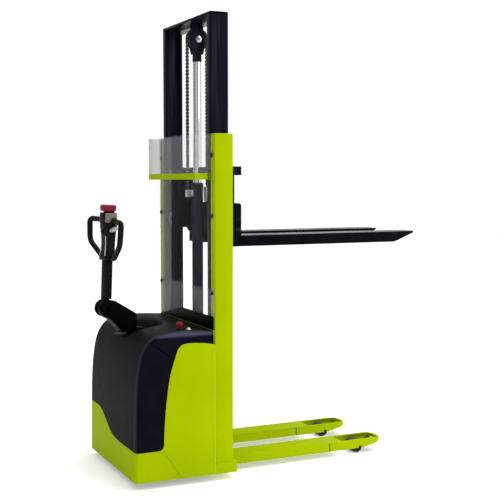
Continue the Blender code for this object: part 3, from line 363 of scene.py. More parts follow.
class Shape:
    """A mesh put together from rounded blocks, plates, turned profiles and tubes."""

    def __init__(self):
        self.mesh = bmesh.new()

    def take(self, part):
        """Adds a closed part, with its faces turned outward first."""
        bmesh.ops.recalc_face_normals(part, faces=part.faces)
        return self.add(part)

    def add(self, part):
        carrier = bpy.data.meshes.new("carrier")
        part.to_mesh(carrier)
        part.free()
        self.mesh.from_mesh(carrier)
        bpy.data.meshes.remove(carrier)
        return self

    def plate(self, points, plane, low, high, edge=0.002, segments=2, angle=35):
        """An outline in a plane, filled from low to high across it, with its edges rounded."""
        part = bmesh.new()
        corners = [part.verts.new(in_plane(plane, p[0], p[1], low)) for p in points]
        face = part.faces.new(corners)
        moved = bmesh.ops.extrude_face_region(part, geom=[face])
        shift = Vector(in_plane(plane, 0, 0, high - low))
        bmesh.ops.translate(part, vec=shift, verts=[v for v in moved["geom"] if isinstance(v, bmesh.types.BMVert)])
        bmesh.ops.recalc_face_normals(part, faces=part.faces)
        if edge:
            bmesh.ops.bevel(part, geom=sharp_edges(part, angle), offset=edge, segments=segments, profile=0.5,
                            affect="EDGES", clamp_overlap=True)
        return self.take(part)

    def block(self, xs, ys, zs, edge=0.002, segments=2):
        return self.plate([(xs[0], ys[0]), (xs[1], ys[0]), (xs[1], ys[1]), (xs[0], ys[1])], "XY", *zs, edge, segments)

    def turned(self, profile, centre, axis="Z", steps=40, start=0.0):
        """A closed profile of (radius, height) points turned about an axis through the centre."""
        part = bmesh.new()
        rings = []
        for radius, height in profile:
            if radius < 1e-6:
                rings.append([part.verts.new((0, 0, height))])
            else:
                angles = [start + math.tau * i / steps for i in range(steps)]
                ring = [part.verts.new((radius * math.cos(a), radius * math.sin(a), height)) for a in angles]
                rings.append(ring)
        for ring, after in zip(rings, rings[1:] + rings[:1]):
            for i in range(steps):
                j = (i + 1) % steps
                corners = [ring[i % len(ring)], ring[j % len(ring)], after[j % len(after)], after[i % len(after)]]
                corners = list(dict.fromkeys(corners))
                if len(corners) > 2:
                    part.faces.new(corners)
        turn = {"Z": Matrix(), "Y": Matrix.Rotation(-math.pi / 2, 4, "X"), "X": Matrix.Rotation(math.pi / 2, 4, "Y")}
        part.transform(Matrix.Translation(centre) @ turn[axis])
        return self.take(part)

    def disc(self, radius, height, centre, axis="Z", edge=0.0015, steps=40, bore=0.0):
        """A short cylinder centred on its middle, with rounded rims and an optional bore."""
        half = height / 2
        rim = [(radius - edge, half), (radius - edge * 0.3, half - edge * 0.3), (radius, half - edge)]
        rim += [(r, -h) for r, h in reversed(rim)]
        return self.turned([(bore, half)] + rim + [(bore, -half)], centre, axis, steps)

    def hexagon(self, across, height, centre, axis="Z", edge=0.001):
        return self.disc(across / math.sqrt(3), height, centre, axis, edge, steps=6)

    def button_bolt(self, radius, centre, axis, out=1):
        """A domed head with a socket, standing out along the axis from the centre."""
        head = radius * 0.55
        profile = [(0, head * 0.5), (radius * 0.42, head * 0.5), (radius * 0.5, head), (radius * 0.72, head * 0.95)]
        profile += [(radius * 0.93, head * 0.62), (radius, head * 0.2), (radius, 0.0), (0.0, 0.0)]
        return self.turned([(r, out * h) for r, h in profile], centre, axis, 24)

    def tube(self, line, radius, sides=20):
        """A round tube along a line of points, closed at both ends. The radius may be a function of 0 to 1."""
        line = [Vector(p) for p in line]
        size = radius if callable(radius) else lambda share: radius
        part = bmesh.new()
        ahead = (line[1] - line[0]).normalized()
        side = ahead.orthogonal().normalized()
        rings = []
        for i, point in enumerate(line):
            ahead = (line[min(i + 1, len(line) - 1)] - line[max(i - 1, 0)]).normalized()
            side = (side - ahead * side.dot(ahead)).normalized()
            other = ahead.cross(side)
            r = size(i / (len(line) - 1))
            angles = [math.tau * k / sides for k in range(sides)]
            rings.append([part.verts.new(point + side * r * math.cos(a) + other * r * math.sin(a)) for a in angles])
        for ring, after in zip(rings, rings[1:]):
            for i in range(sides):
                j = (i + 1) % sides
                part.faces.new([ring[i], ring[j], after[j], after[i]])
        part.faces.new(rings[0])
        part.faces.new(rings[-1])
        return self.take(part)

    def object(self, name, place=MAST):
        mesh = bpy.data.meshes.new(name)
        self.mesh.transform(place)
        self.mesh.to_mesh(mesh)
        self.mesh.free()
        made = bpy.data.objects.new(name, mesh)
        bpy.context.scene.collection.objects.link(made)
        return made

    def cutter(self):
        return self.object("cutter", Matrix())

    def piece(self, name, look, body, place=MAST, stands_for=()):
        return dress(self.object(name, place), look, body, stands_for)

    def stand_in(self, node, look, place=MAST):
        """A piece that stands for one CAD node and rides on its body."""
        return self.piece(node + "_finished", look, BODY_OF[node], place, (node,))


def dress(piece, look, body, stands_for=(), angle=32):
    """Gives a piece its material and body, and hides the CAD nodes it stands for."""
    piece.data.materials.clear()
    piece.data.materials.append(LOOKS[look])
    piece.data.shade_smooth()
    piece.data.set_sharp_from_angle(angle=math.radians(angle))
    if body:
        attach(piece, body)
    if stands_for:
        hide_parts(*stands_for)
    return piece


def refined(node, look, edge, segments=3, angle=32):
    """A copy of a CAD node with its edges rounded, which stands for the node."""
    solid = bmesh.new()
    solid.from_mesh(frame["nodes"][node].data)
    bmesh.ops.remove_doubles(solid, verts=solid.verts, dist=0.00001)
    bmesh.ops.dissolve_limit(solid, angle_limit=math.radians(0.6), verts=solid.verts, edges=solid.edges)
    bmesh.ops.recalc_face_normals(solid, faces=solid.faces)
    mesh = bpy.data.meshes.new(node + "_finished")
    solid.to_mesh(mesh)
    solid.free()
    piece = bpy.data.objects.new(node + "_finished", mesh)
    bpy.context.scene.collection.objects.link(piece)
    rounding = piece.modifiers.new("rounded_edges", "BEVEL")
    rounding.width = edge
    rounding.segments = segments
    rounding.limit_method = "ANGLE"
    rounding.angle_limit = math.radians(angle)
    rounding.use_clamp_overlap = True
    rounding.miter_outer = "MITER_ARC"
    settle(piece)
    return dress(piece, look, BODY_OF[node], (node,))


def settle(piece):
    """Applies a piece's modifiers to its mesh."""
    bpy.context.view_layer.update()
    graph = bpy.context.evaluated_depsgraph_get()
    mesh = bpy.data.meshes.new_from_object(piece.evaluated_get(graph))
    piece.modifiers.clear()
    piece.data = mesh
    return piece


def combined(piece, operation, *others):
    """Cuts a piece with others, joins them to it, or keeps what it shares with them. The others are used up."""
    for other in others:
        step = piece.modifiers.new(other.name, "BOOLEAN")
        step.operation = operation
        step.object = other
        settle(piece)
        bpy.data.objects.remove(other)
    return piece


# ---------------------------------------------------------------- base, columns and sheets
def chassis_metal():
    refined("base_beam", "lime_paint", 0.004)
    refined("mast_foot_plate", "lime_paint", 0.0015)
    for name, side in SIDES:
        refined(f"leg_{name}", "lime_paint", 0.0022)
        refined(f"outer_mast_{name}", "lime_paint", 0.003)
        leg_details(name, side)
        side_panel(name, side)
    refined("guard_bar", "lime_paint", 0.0012)
    refined("mast_screen", "clear_sheet", 0.0010)
    refined("hand_guard", "smoked_sheet", 0.0010)
    column_details()


def half_size(node, axis):
    low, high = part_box(node)
    return (high[axis] - low[axis]) / 2


def leg_details(name, side):
    """The leg's weld seam, the axle with its screwed ends, and the load roller."""
    low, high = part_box(f"leg_{name}")
    inner, outer = sorted((abs(low.y), abs(high.y)))
    seam_x = 0.752
    seam = Shape()
    for y in (inner, outer):
        seam.block((seam_x - 0.0032, seam_x + 0.0032), sorted((side * y - 0.0004, side * y + 0.0004)),
                   (low.z + 0.001, high.z - 0.0015), 0)
    seam.piece(f"leg_seam_{name}", "seam_and_shade_olive", "chassis")

    # Painted shade: a dark olive plate inside the leg's nose, so that the slot shows shade and not the floor.
    floor = [(0.988, low.z + 0.0045), (1.078, low.z + 0.0235), (1.078, low.z + 0.0265), (0.988, low.z + 0.0075)]
    Shape().plate(floor, "XZ", *outward(side, inner + 0.014, outer - 0.014), 0.0005, 1).piece(
        f"leg_nose_shade_{name}", "seam_and_shade_olive", "chassis")

    axle_low, axle_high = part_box(f"load_roller_axle_{name}")
    x = (axle_low.x + axle_high.x) / 2 - REAR
    y = (axle_low.y + axle_high.y) / 2
    z = (axle_low.z + axle_high.z) / 2
    radius = half_size(f"load_roller_axle_{name}", 2)
    axle = Shape().disc(radius, outer - inner + 0.004, (x, y, z), "Y")
    for out in (1, -1):
        axle.button_bolt(radius * 0.62, (x, y + out * (outer - inner) / 2, z), "Y", out)
    axle.stand_in(f"load_roller_axle_{name}", "black_steel")
    roller(f"load_roller_{name}", (x, y, z), radius)


def roller(node, centre, bore):
    """A tyre with rounded shoulders on a steel hub with a bearing at each end."""
    reach, half = half_size(node, 2), half_size(node, 1)
    hub = reach * 0.62
    tyre = [(hub, half - 0.004), (reach * 0.90, half - 0.003), (reach * 0.97, half - 0.006), (reach, half - 0.012)]
    Shape().turned(both_ways(tyre), centre, "Y", 48).piece(node + "_tyre", "polyurethane", node, stands_for=(node,))
    core = [(bore + 0.0008, half - 0.001), (hub * 0.55, half - 0.001), (hub * 0.60, half - 0.005)]
    core += [(hub * 0.86, half - 0.005), (hub * 0.90, half), (hub, half)]
    Shape().turned(both_ways(core), centre, "Y", 48).piece(node + "_hub", "black_steel", node)


def side_edge_line():
    """The rear edge of a lime side plate, from its top to where it meets the skirt."""
    crown = [(-0.0003, 0.714), (-0.060, 0.724), (-0.110, 0.7285), (-0.156, 0.728)]
    shoulder = arc((-0.156, 0.672), 0.056, 90, 158, 10)[1:]
    fall = [(-0.225, 0.653), (-0.245, 0.576), (-0.263, 0.467), (-0.2735, 0.371), (-0.2790, 0.290), (-0.2800, 0.265)]
    line = [Vector(p) for p in crown + shoulder[:-1]] + smooth_line([shoulder[-1]] + fall[1:], 4)
    return line + rounded([(-0.2800, 0.265), (-0.2820, 0.1915), (-0.350, 0.1915)], 0.040, 8)[1:]


def side_panel(name, side):
    low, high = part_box(f"side_panel_{name}")
    foot = [Vector((-0.280, 0.187)), Vector((-0.182, low.z))]
    outline = [Vector((-0.0003, low.z))] + side_edge_line() + foot
    Shape().plate(outline, "XZ", low.y, high.y, 0.0014, 2, 50).stand_in(f"side_panel_{name}", "lime_paint")


def column_details():
    """The screws that hold the sheet, the guard bar's bolts, the foot welds, and strips of painted highlight along the
    seams of the columns.
    """
    sheet_rear = row_to_mast("mast_screen", 0, 0)
    screws = Shape()
    washers = Shape()
    for _, side in SIDES:
        for z in (1.680, 1.370, 0.974):
            washers.disc(0.0125, 0.0014, (sheet_rear - 0.0007, side * 0.372, z), "X", 0.0004, 28)
            screws.button_bolt(0.0095, (sheet_rear - 0.0014, side * 0.372, z), "X", -1)
    screws.piece("screen_screws", "black_steel", "chassis")
    washers.piece("screen_washers", "black_plastic", "chassis")
    bar_low, bar_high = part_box("guard_bar")
    bolts = Shape()
    for _, side in SIDES:
        for z in (bar_low.z + 0.008, bar_high.z - 0.008):
            bolts.hexagon(0.009, 0.004, (sheet_rear - 0.010, side * (bar_high.y + 0.0012), z), "Y")
    bolts.piece("guard_bar_bolts", "black_steel", "chassis")
    foot = [(0.380, 0.7868), (0.050, 0.8550), (-0.3915, 0.8550), (-0.3915, 0.7868)]
    Shape().plate(foot, "YZ", sheet_rear - 0.0045, sheet_rear - 0.0004, 0.0008, 2, 50).piece(
        "screen_foot_plate", "arm_paint", "chassis")
    # Painted highlight: thin strips of brighter lime down the seam of each column and side panel.
    edge = Shape()
    for _, side in SIDES:
        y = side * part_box("side_panel_left")[1].y
        edge.block((-0.0026, -0.0008), sorted((y - side * 0.001, y + side * 0.0006)), (0.040, 0.712), 0.0003, 1)
    edge.piece("panel_edge_highlights", "lime_edge_highlight", "chassis")
    weld = Shape()
    beam_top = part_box("base_beam")[1].z
    for _, side in SIDES:
        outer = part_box("outer_mast_left")[1].y
        line = [(0.004, side * outer, beam_top), (COLUMN_DEPTH - 0.004, side * outer, beam_top)]
        weld.tube(line, 0.0035, 8)
        line = [(COLUMN_DEPTH, side * (outer - 0.052), beam_top), (COLUMN_DEPTH, side * (outer - 0.003), beam_top)]
        weld.tube(line, 0.0035, 8)
    weld.piece("column_foot_welds", "lime_paint", "chassis")


# ---------------------------------------------------------------- hood
HOOD_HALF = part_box("rear_cover")[1].y
HOOD_WALL = 0.004
HOOD_ROUND = 0.022
SKIRT_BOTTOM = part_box("rear_skirt")[0].z
HOOD_FRONT = row_to_mast("top_cover", 1, 0)
DISH_FLOOR = 0.735


def hood_profile(inset):
    """The hood's side view, drawn past its front and bottom so that the shell stays open there."""
    rear = [(-0.4320, 0.036), (-0.4300, 0.226), (-0.4265, 0.418), (-0.4190, 0.546), (-0.4020, 0.655)]
    crown = [(-0.3780, 0.716), (-0.3420, 0.758), (-0.2850, 0.781), (-0.1700, 0.791), (-0.0068, 0.783)]
    line = smooth_line(rear + crown, 5)
    moved = []
    for i, point in enumerate(line):
        along = (line[min(i + 1, len(line) - 1)] - line[max(i - 1, 0)]).normalized()
        moved.append(point + Vector((along.y, -along.x)) * inset)
    start, end = moved[0], moved[-1]
    return [(start.x, -0.1)] + moved + [(0.1, end.y), (0.1, -0.1)]


def dish(inset):
    """The round recess in the top in which the tiller's arm swings, widening to a soft rim."""
    wall = [(0.0, DISH_FLOOR), (0.108, DISH_FLOOR), (0.117, DISH_FLOOR + 0.003), (0.123, DISH_FLOOR + 0.010)]
    wall += [(0.131, 0.762), (0.139, 0.776), (0.149, 0.7855), (0.165, 0.7915), (0.190, 0.7975), (0.0, 0.7975)]
    profile = [(r + inset if r else 0.0, z - inset) for r, z in wall]
    return Shape().turned(profile, (STEER_X, 0, 0), "Z", 96).cutter()


def hood_shell(name):
    """The whole hood as one smooth shell, in mast coordinates, from which each cover keeps its own region."""
    shell = Shape().plate(hood_profile(0), "XZ", -HOOD_HALF, HOOD_HALF, HOOD_ROUND, 8, 60).object(name, Matrix())
    inner = HOOD_HALF - HOOD_WALL
    hollow = Shape().plate(hood_profile(HOOD_WALL), "XZ", -inner, inner, HOOD_ROUND - HOOD_WALL, 6, 60)
    hollow = combined(hollow.cutter(), "DIFFERENCE", dish(HOOD_WALL))
    front = Shape().block((HOOD_FRONT, 0.3), (-0.5, 0.5), (-0.3, 1.0), 0).cutter()
    bottom = Shape().block((-0.6, 0.3), (-0.5, 0.5), (-0.3, SKIRT_BOTTOM), 0).cutter()
    return combined(shell, "DIFFERENCE", dish(0), hollow, front, bottom)


def region(points, plane="XZ", low=-0.5, high=0.5):
    return Shape().plate(points, plane, low, high, 0).cutter()


def column_hole():
    return Shape().disc(0.045, 0.05, (STEER_X, 0, DISH_FLOOR), steps=64).cutter()


def under_skirt_line(lift):
    """What lies below the skirt's upper edge, which steps up on the left in one long S."""
    low, high = 0.190 + lift, 0.311 + lift
    corners = [(0.52, high), (0.205, high), (0.120, 0.268 + lift), (0.015, 0.205 + lift), (-0.110, low), (-0.52, low)]
    return rounded(corners, 0.060, 7) + [(-0.52, 0.0), (0.52, 0.0)]


def covers():
    """The top cover, the rear cover and the lime skirt, with open seams between them."""
    gap = 0.0016
    seam = [(-0.344, 0.739), (-0.225, 0.653)]
    drop = (Vector(seam[1]) - Vector(seam[0])).normalized()
    across = Vector((-drop.y, drop.x)) * gap
    upper = [Vector(p) + across for p in seam]
    lower = [Vector(p) - across for p in seam]

    top = hood_shell("top_cover_finished")
    edge = [(-0.6, 0.7424), (-0.352, 0.7424)] + upper + [(-0.20, 0.630), (-0.205, 0.600), (0.1, 0.600)]
    combined(top, "INTERSECT", region(edge + [(0.1, 0.9), (-0.6, 0.9)]))
    stop_at, key_at = middle("emergency_stop_button"), middle("key_switch")
    stop_hole = Shape().disc(0.0108, 0.06, (stop_at.x, stop_at.y, 0.79), steps=40).cutter()
    key_hole = Shape().disc(0.0098, 0.06, (key_at.x, key_at.y, 0.79), steps=40).cutter()
    combined(top, "DIFFERENCE", column_hole(), stop_hole, key_hole)
    top.data.transform(MAST)
    dress(top, "cover_plastic", "chassis", ("top_cover",), 28)

    rear = hood_shell("rear_cover_finished")
    edge = [(-0.6, 0.0), (-0.6, 0.7416), (-0.3522, 0.7416)] + lower + [(-0.205, 0.636), (-0.205, 0.0)]
    combined(rear, "INTERSECT", region(edge))
    combined(rear, "DIFFERENCE", region(under_skirt_line(0.0010), "YZ", -0.6, -0.0), column_hole())
    rear.data.transform(MAST)
    dress(rear, "cover_plastic", "chassis", ("rear_cover",), 28)

    boot = [(0.040, DISH_FLOOR + 0.0003), (0.115, DISH_FLOOR + 0.0003), (0.115, DISH_FLOOR + 0.0020)]
    boot += [(0.060, DISH_FLOOR + 0.0030), (0.050, DISH_FLOOR + 0.0120), (0.040, DISH_FLOOR + 0.0120)]
    Shape().turned(boot, (STEER_X, 0, 0), "Z", 64).piece("dish_floor_boot", "arm_paint", "chassis")

    skirt = hood_shell("rear_skirt_finished")
    side = [(-0.6, 0.0), (-0.165, 0.0), (-0.185, 0.043), (-0.2785, 0.186), (-0.2785, 0.35), (-0.6, 0.35)]
    combined(skirt, "INTERSECT", region(side), region(under_skirt_line(0.0), "YZ", -0.6, 0.1))
    skirt.data.transform(MAST)
    dress(skirt, "lime_paint", "chassis", ("rear_skirt",), 28)


def hood_controls():
    """The emergency stop with its dark collar, and the key switch with its bright bezel."""
    stop, key = middle("emergency_stop_button"), middle("key_switch")
    deck = 0.7905
    collar = [(0.0112, deck + 0.006), (0.0195, deck + 0.006), (0.0225, deck + 0.002), (0.0225, deck - 0.003)]
    collar.append((0.0112, deck - 0.003))
    Shape().turned(collar, (stop.x, stop.y, 0), "Z", 48).piece("stop_collar", "black_plastic", "chassis")
    cap = [(0.0, 0.829), (0.007, 0.8285), (0.0125, 0.8265), (0.0165, 0.823), (0.0188, 0.818), (0.0190, 0.814)]
    cap += [(0.0175, 0.8100), (0.0105, 0.8085), (0.0100, 0.8060), (0.0100, 0.765), (0.0, 0.765)]
    Shape().turned(cap, (stop.x, stop.y, 0), "Z", 48).piece(
        "emergency_stop_finished", "red_plastic", "emergency_stop", stands_for=("emergency_stop_button",))
    bezel = [(0.0100, deck + 0.003), (0.0135, deck + 0.003), (0.0150, deck), (0.0150, deck - 0.002)]
    bezel.append((0.0100, deck - 0.002))
    Shape().turned(bezel, (key.x, key.y, 0), "Z", 40).piece("key_bezel", "bright_steel", "chassis")
    barrel = [(0.0, 0.7970), (0.0088, 0.7965), (0.0094, 0.7955), (0.0094, 0.765), (0.0, 0.765)]
    turned = Shape().turned(barrel, (key.x, key.y, 0), "Z", 40)
    turned.block((key.x - 0.008, key.x + 0.008), (key.y - 0.0012, key.y + 0.0012), (0.793, 0.7995), 0.0006)
    turned.stand_in("key_switch", "bright_steel")


# ---------------------------------------------------------------- mast
def lift_cylinder():
    """The barrel with its foot weld and port, the gland with its spanner flats, and the chromed rod."""
    low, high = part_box("cylinder_barrel")
    radius, centre = half_size("cylinder_barrel", 1), (PULLEY.x, 0, 0)
    bore = radius - 0.0045
    barrel = [(bore, high.z), (radius - 0.001, high.z), (radius, high.z - 0.001), (radius, low.z + 0.012)]
    barrel += [(radius + 0.004, low.z + 0.003), (radius + 0.004, low.z), (0.0, low.z), (0.0, low.z + 0.02)]
    barrel.append((bore, low.z + 0.02))
    shape = Shape().turned(barrel, centre, "Z", 64)
    shape.disc(0.011, 0.022, (PULLEY.x - 0.006, -radius - 0.006, low.z + 0.060), "Y", steps=24)
    shape.stand_in("cylinder_barrel", "black_paint")
    low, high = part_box("cylinder_gland")
    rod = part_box("cylinder_rod")
    rod_radius, outer = half_size("cylinder_rod", 1), half_size("cylinder_gland", 1)
    gland = [(rod_radius + 0.0003, high.z), (rod_radius + 0.004, high.z), (outer - 0.004, high.z - 0.004)]
    gland += [(outer, high.z - 0.008), (outer, high.z - 0.026), (outer - 0.002, high.z - 0.028)]
    gland += [(outer - 0.002, low.z), (rod_radius + 0.0003, low.z)]
    Shape().turned(gland, centre, "Z", 64).stand_in("cylinder_gland", "black_steel")
    shaft = [(0.0, rod[1].z), (rod_radius, rod[1].z), (rod_radius, rod[0].z), (0.0, rod[0].z)]
    Shape().turned(shaft, centre, "Z", 96).stand_in("cylinder_rod", "chrome")


def inner_mast():
    """The inner mast, with strips of painted highlight on the inner face of its top rail, and its rollers."""
    low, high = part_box("inner_mast")
    half, depth, top = 0.343, COLUMN_DEPTH, high.z
    frame_shape = Shape()
    for _, side in SIDES:
        plan = [(0.0, side * (half - 0.046)), (0.0, side * half), (depth, side * half), (depth, side * (half - 0.046))]
        plan += [(depth - 0.013, side * (half - 0.046)), (depth - 0.013, side * (half - 0.010))]
        plan += [(0.013, side * (half - 0.010)), (0.013, side * (half - 0.046))]
        frame_shape.plate(plan, "XY", low.z, top - 0.0002, 0.0028, 3)
        stub_y = outward(side, half - 0.001, half + 0.046)
        frame_shape.disc(0.0122, stub_y[1] - stub_y[0], (middle("mast_roller_left").x, sum(stub_y) / 2,
                                                         middle("mast_roller_left").z), "Y")
        frame_shape.block((depth - 0.008, depth - 0.0002), outward(side, 0.030, 0.300),
                          (top - 0.0350, top - 0.006), 0.0006, 1)
    frame_shape.block((0.0, depth), (-half, half), (top - 0.0120, top), 0.0020, 2)
    tie = [(-0.302, low.z), (0.302, low.z), (0.302, 0.775), (0.170, 0.835), (-0.170, 0.835), (-0.302, 0.775)]
    frame_shape.plate(tie, "YZ", 0.004, 0.012, 0.0012, 2, 50)
    frame_shape.stand_in("inner_mast", "black_paint")
    # Painted highlight: pale grey strips where light falls on the top rail.
    rail_highlights = Shape()
    for _, side in SIDES:
        rail_highlights.block((COLUMN_DEPTH - 0.0092, COLUMN_DEPTH - 0.0078), outward(side, 0.031, 0.299),
                   (high.z - 0.0352, high.z - 0.0125), 0.0002, 1)
    rail_highlights.piece("top_rail_highlights", "highlight_grey", "inner_mast")
    for name, _ in SIDES:
        bearing(f"mast_roller_{name}")
        for level in ("lower", "upper"):
            bearing(f"carriage_roller_{level}_{name}")


def bearing(node):
    """A steel mast roller: a crowned outer ring, a seal and an inner ring."""
    centre = middle(node)
    reach, half = half_size(node, 2), half_size(node, 1)
    ring = [(reach * 0.72, half), (reach - 0.003, half), (reach, half - 0.004)]
    Shape().turned(both_ways(ring), centre, "Y", 48).piece(node + "_ring", "steel", node, stands_for=(node,))
    seal = [(reach * 0.50, half - 0.003), (reach * 0.72, half - 0.003)]
    Shape().turned(both_ways(seal), centre, "Y", 48).piece(node + "_seal", "black_plastic", node)
    core = [(0.0123, half - 0.001), (reach * 0.49, half - 0.001)]
    Shape().turned(both_ways(core), centre, "Y", 48).piece(node + "_core", "roller_core", node)


def pulley():
    """The block on the rod's head, the grooved pulley, and the bolt it turns on."""
    low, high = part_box("pulley_block")
    block_foot = PULLEY.z - 0.0795
    head = Shape().turned([(0.0, low.z), (0.0225, low.z), (0.0245, low.z + 0.002), (0.0245, block_foot + 0.001),
                           (0.0, block_foot + 0.001)], (PULLEY.x, 0, 0), "Z", 48)
    head.block((0.040, 0.097), (-0.025, 0.025), (block_foot, PULLEY.z - 0.0670), 0.003, 3)
    cheek = [(0.040, PULLEY.z - 0.0785), (0.097, PULLEY.z - 0.0785), (0.108, PULLEY.z - 0.025)]
    cheek += [(0.108, PULLEY.z + 0.025), (0.098, PULLEY.z + 0.050), (0.098, high.z), (0.036, high.z)]
    cheek += [(0.036, PULLEY.z + 0.050), (0.028, PULLEY.z + 0.025), (0.028, PULLEY.z - 0.025)]
    for _, side in SIDES:
        head.plate(cheek, "XZ", *outward(side, 0.0135, 0.0215), 0.0015, 2, 20)
        head.disc(0.024, 0.003, (PULLEY.x, side * 0.0225, PULLEY.z), "Y", 0.001, 48, 0.0130)
    head.stand_in("pulley_block", "black_paint")
    wheel = [(0.0128, 0.0130), (0.030, 0.0130), (0.034, 0.0105), (0.050, 0.0105), (0.053, 0.0130), (0.0612, 0.0130)]
    wheel += [(0.0620, 0.0122), (0.0612, 0.0098), (0.0508, 0.0092)]
    Shape().turned(both_ways(wheel), PULLEY, "Y", 96).stand_in("chain_pulley", "black_steel")
    low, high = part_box("pulley_pin")
    near = low.y
    pin = Shape().disc(0.0125, high.y - near - 0.011, (PULLEY.x, (near + 0.011 + high.y) / 2, PULLEY.z), "Y")
    pin.disc(0.0180, 0.0020, (PULLEY.x, near + 0.0075, PULLEY.z), "Y", 0.0007)
    pin.hexagon(0.024, 0.006, (PULLEY.x, near + 0.0035, PULLEY.z), "Y", 0.0015)
    # Painted shade: a near-black disc on the pin's head, where its socket lies in shade.
    Shape().disc(0.0050, 0.0015, (PULLEY.x, near - 0.0002, PULLEY.z), "Y", 0.0003, 24).piece(
        "pulley_pin_socket_shade", "arm_paint", "inner_mast")
    pin.stand_in("pulley_pin", "bright_steel")


CHAIN_PITCH = 0.0190
LINK = [(-0.0044, 0.0), (-0.0058, 0.0038), (-0.0078, 0.0085), (-0.0074, 0.0125), (-0.0045, 0.0158), (0.0, 0.0170)]


def chain_steel():
    """Oiled chain: dark side plates with a brighter pin at every pitch."""
    nodes = finish("chain_steel", None, (0.30, 0.46), 420.0, 0.05, scale=14.0, Specular_IOR_Level=0.12)
    wave = nodes.sum("SINE", nodes.sum("MULTIPLY", nodes.along("Z"), math.tau / CHAIN_PITCH))
    bright = nodes.spread(wave, 0.0, 1.0, 0.25, 0.75)
    nodes.colour(nodes.mix(bright, (0.010, 0.010, 0.009), (0.110, 0.108, 0.098)))
    return nodes.material


def chain_link(shape, at, angle, kind):
    """One pitch of leaf chain: two or three waisted plates and the pin at its upper end."""
    lap = LINK + [(-x, z) for x, z in reversed(LINK[:-1])]
    outline = lap + [(x, -z) for x, z in reversed(lap[1:-1])]
    plates = ((-0.0080, -0.0054), (0.0054, 0.0080)) if kind else ((-0.0050, -0.0022), (0.0022, 0.0050))
    link = Shape()
    for low, high in plates:
        link.plate(outline, "XZ", low, high, 0.0003, 1)
    link.disc(0.0034, 0.0184, (0, 0, CHAIN_PITCH / 2), "Y", 0.0005, 10)
    link.mesh.transform(Matrix.Translation(at) @ Matrix.Rotation(angle, 4, "Y"))
    shape.add(link.mesh)


def straight_chain(x, foot):
    shape = Shape()
    count = round((PULLEY.z - foot) / CHAIN_PITCH)
    pitch = (PULLEY.z - foot) / count
    for i in range(count):
        chain_link(shape, (x, 0, foot + pitch * (i + 0.5)), 0.0, i % 2)
    return shape


def chains():
    """Leaf chain: two straight runs, made at one fixed length here though they lengthen as the mast rises, and the turn
    over the pulley.
    """
    LOOKS["chain_steel"] = chain_steel()
    rear = straight_chain(CHAIN_REAR_X, CHAIN_REAR_FOOT).piece(
        "chain_rear_finished", "chain_steel", None, stands_for=("chain_rear_run",))
    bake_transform(rear)
    front = straight_chain(CHAIN_FRONT_X, CHAIN_FRONT_FOOT).piece(
        "chain_front_finished", "chain_steel", None, stands_for=("chain_front_run",))
    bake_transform(front)
    turn = Shape()
    radius = (CHAIN_FRONT_X - CHAIN_REAR_X) / 2
    count = round(math.pi * radius / CHAIN_PITCH)
    for i in range(count):
        angle = math.pi * (i + 0.5) / count
        at = PULLEY + Vector((-radius * math.cos(angle), 0, radius * math.sin(angle)))
        chain_link(turn, at, angle, i % 2)
    turn.piece("chain_over_pulley", "chain_steel", "inner_mast")


def chain_anchors():
    """Each anchor is a block with a flat nut under it."""
    for node, body, x in (("chain_anchor_mast", "chassis", CHAIN_REAR_X),
                          ("chain_anchor_carriage", "carriage", CHAIN_FRONT_X)):
        refined(node, "steel", 0.0012)
        low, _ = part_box(node)
        nut = Shape().hexagon(0.0125, 0.0035, (x, 0, low.z - 0.0012), "Z", 0.0006)
        nut.piece(node + "_nuts", "bright_steel", body)


SHANK_REAR = 0.157


def carriage_and_forks():
    refined("carriage", "black_paint", 0.0022)
    for name, _ in SIDES:
        refined(f"fork_{name}", "fork_paint", 0.0030)
        low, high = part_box(f"fork_{name}")
        weld = Shape()
        for y in (low.y + 0.004, high.y - 0.004):
            weld.tube([(SHANK_REAR - 0.001, y, 1.2665), (SHANK_REAR - 0.001, y, 1.425)], 0.003, 8)
        weld.piece(f"fork_weld_{name}", "black_paint", "carriage")


# ---------------------------------------------------------------- drive, castor and inner parts
def running_gear():
    refined("drive_unit", "black_paint", 0.0020)
    refined("castor_fork", "steel", 0.0012)
    wheel_at = Vector(JOINTS["drive_wheel_spin"]["pos_m"])
    big_wheel("drive_wheel", (STEER_X, 0, wheel_at.z), wheel_at.z, 0.036, 0.0183, STEERED)
    castor = middle("castor_wheel")
    big_wheel("castor_wheel", castor, castor.z, 0.023, 0.0083, MAST)


def big_wheel(node, centre, radius, half, bore, place):
    """A tyre with rounded shoulders on a dished hub that carries a circle of bolts."""
    rim = radius * 0.70
    tyre = [(rim, half - 0.002), (radius - 0.010, half - 0.001), (radius - 0.003, half - 0.006), (radius, half - 0.014)]
    Shape().turned(both_ways(tyre), centre, "Y", 80).piece(node + "_tyre", "polyurethane", node, place, (node,))
    hub = [(bore + 0.0004, half - 0.004), (radius * 0.30, half - 0.004), (radius * 0.34, half - 0.012)]
    hub += [(rim - 0.012, half - 0.012), (rim - 0.006, half - 0.002), (rim, half - 0.002)]
    shape = Shape().turned(both_ways(hub), centre, "Y", 64)
    for i in range(5):
        angle = math.tau * i / 5
        for out in (1, -1):
            at = Vector(centre) + Vector((math.cos(angle), 0, math.sin(angle))) * radius * 0.47
            shape.button_bolt(radius * 0.055, at + Vector((0, out * (half - 0.012), 0)), "Y", out)
    shape.piece(node + "_hub", "steel", node, place)


def inside_parts():
    for node, look in (("chassis_deck", "lime_paint"), ("battery", "battery_case"), ("steering_bearing", "steel"),
                       ("hydraulic_power_unit", "black_paint"), ("motor_controller", "aluminium")):
        refined(node, look, 0.0015, 2)


# ---------------------------------------------------------------- tiller
KNUCKLE = 0.045
CHEEK_OUTER = 0.034
CHEEK_INNER = 0.0190


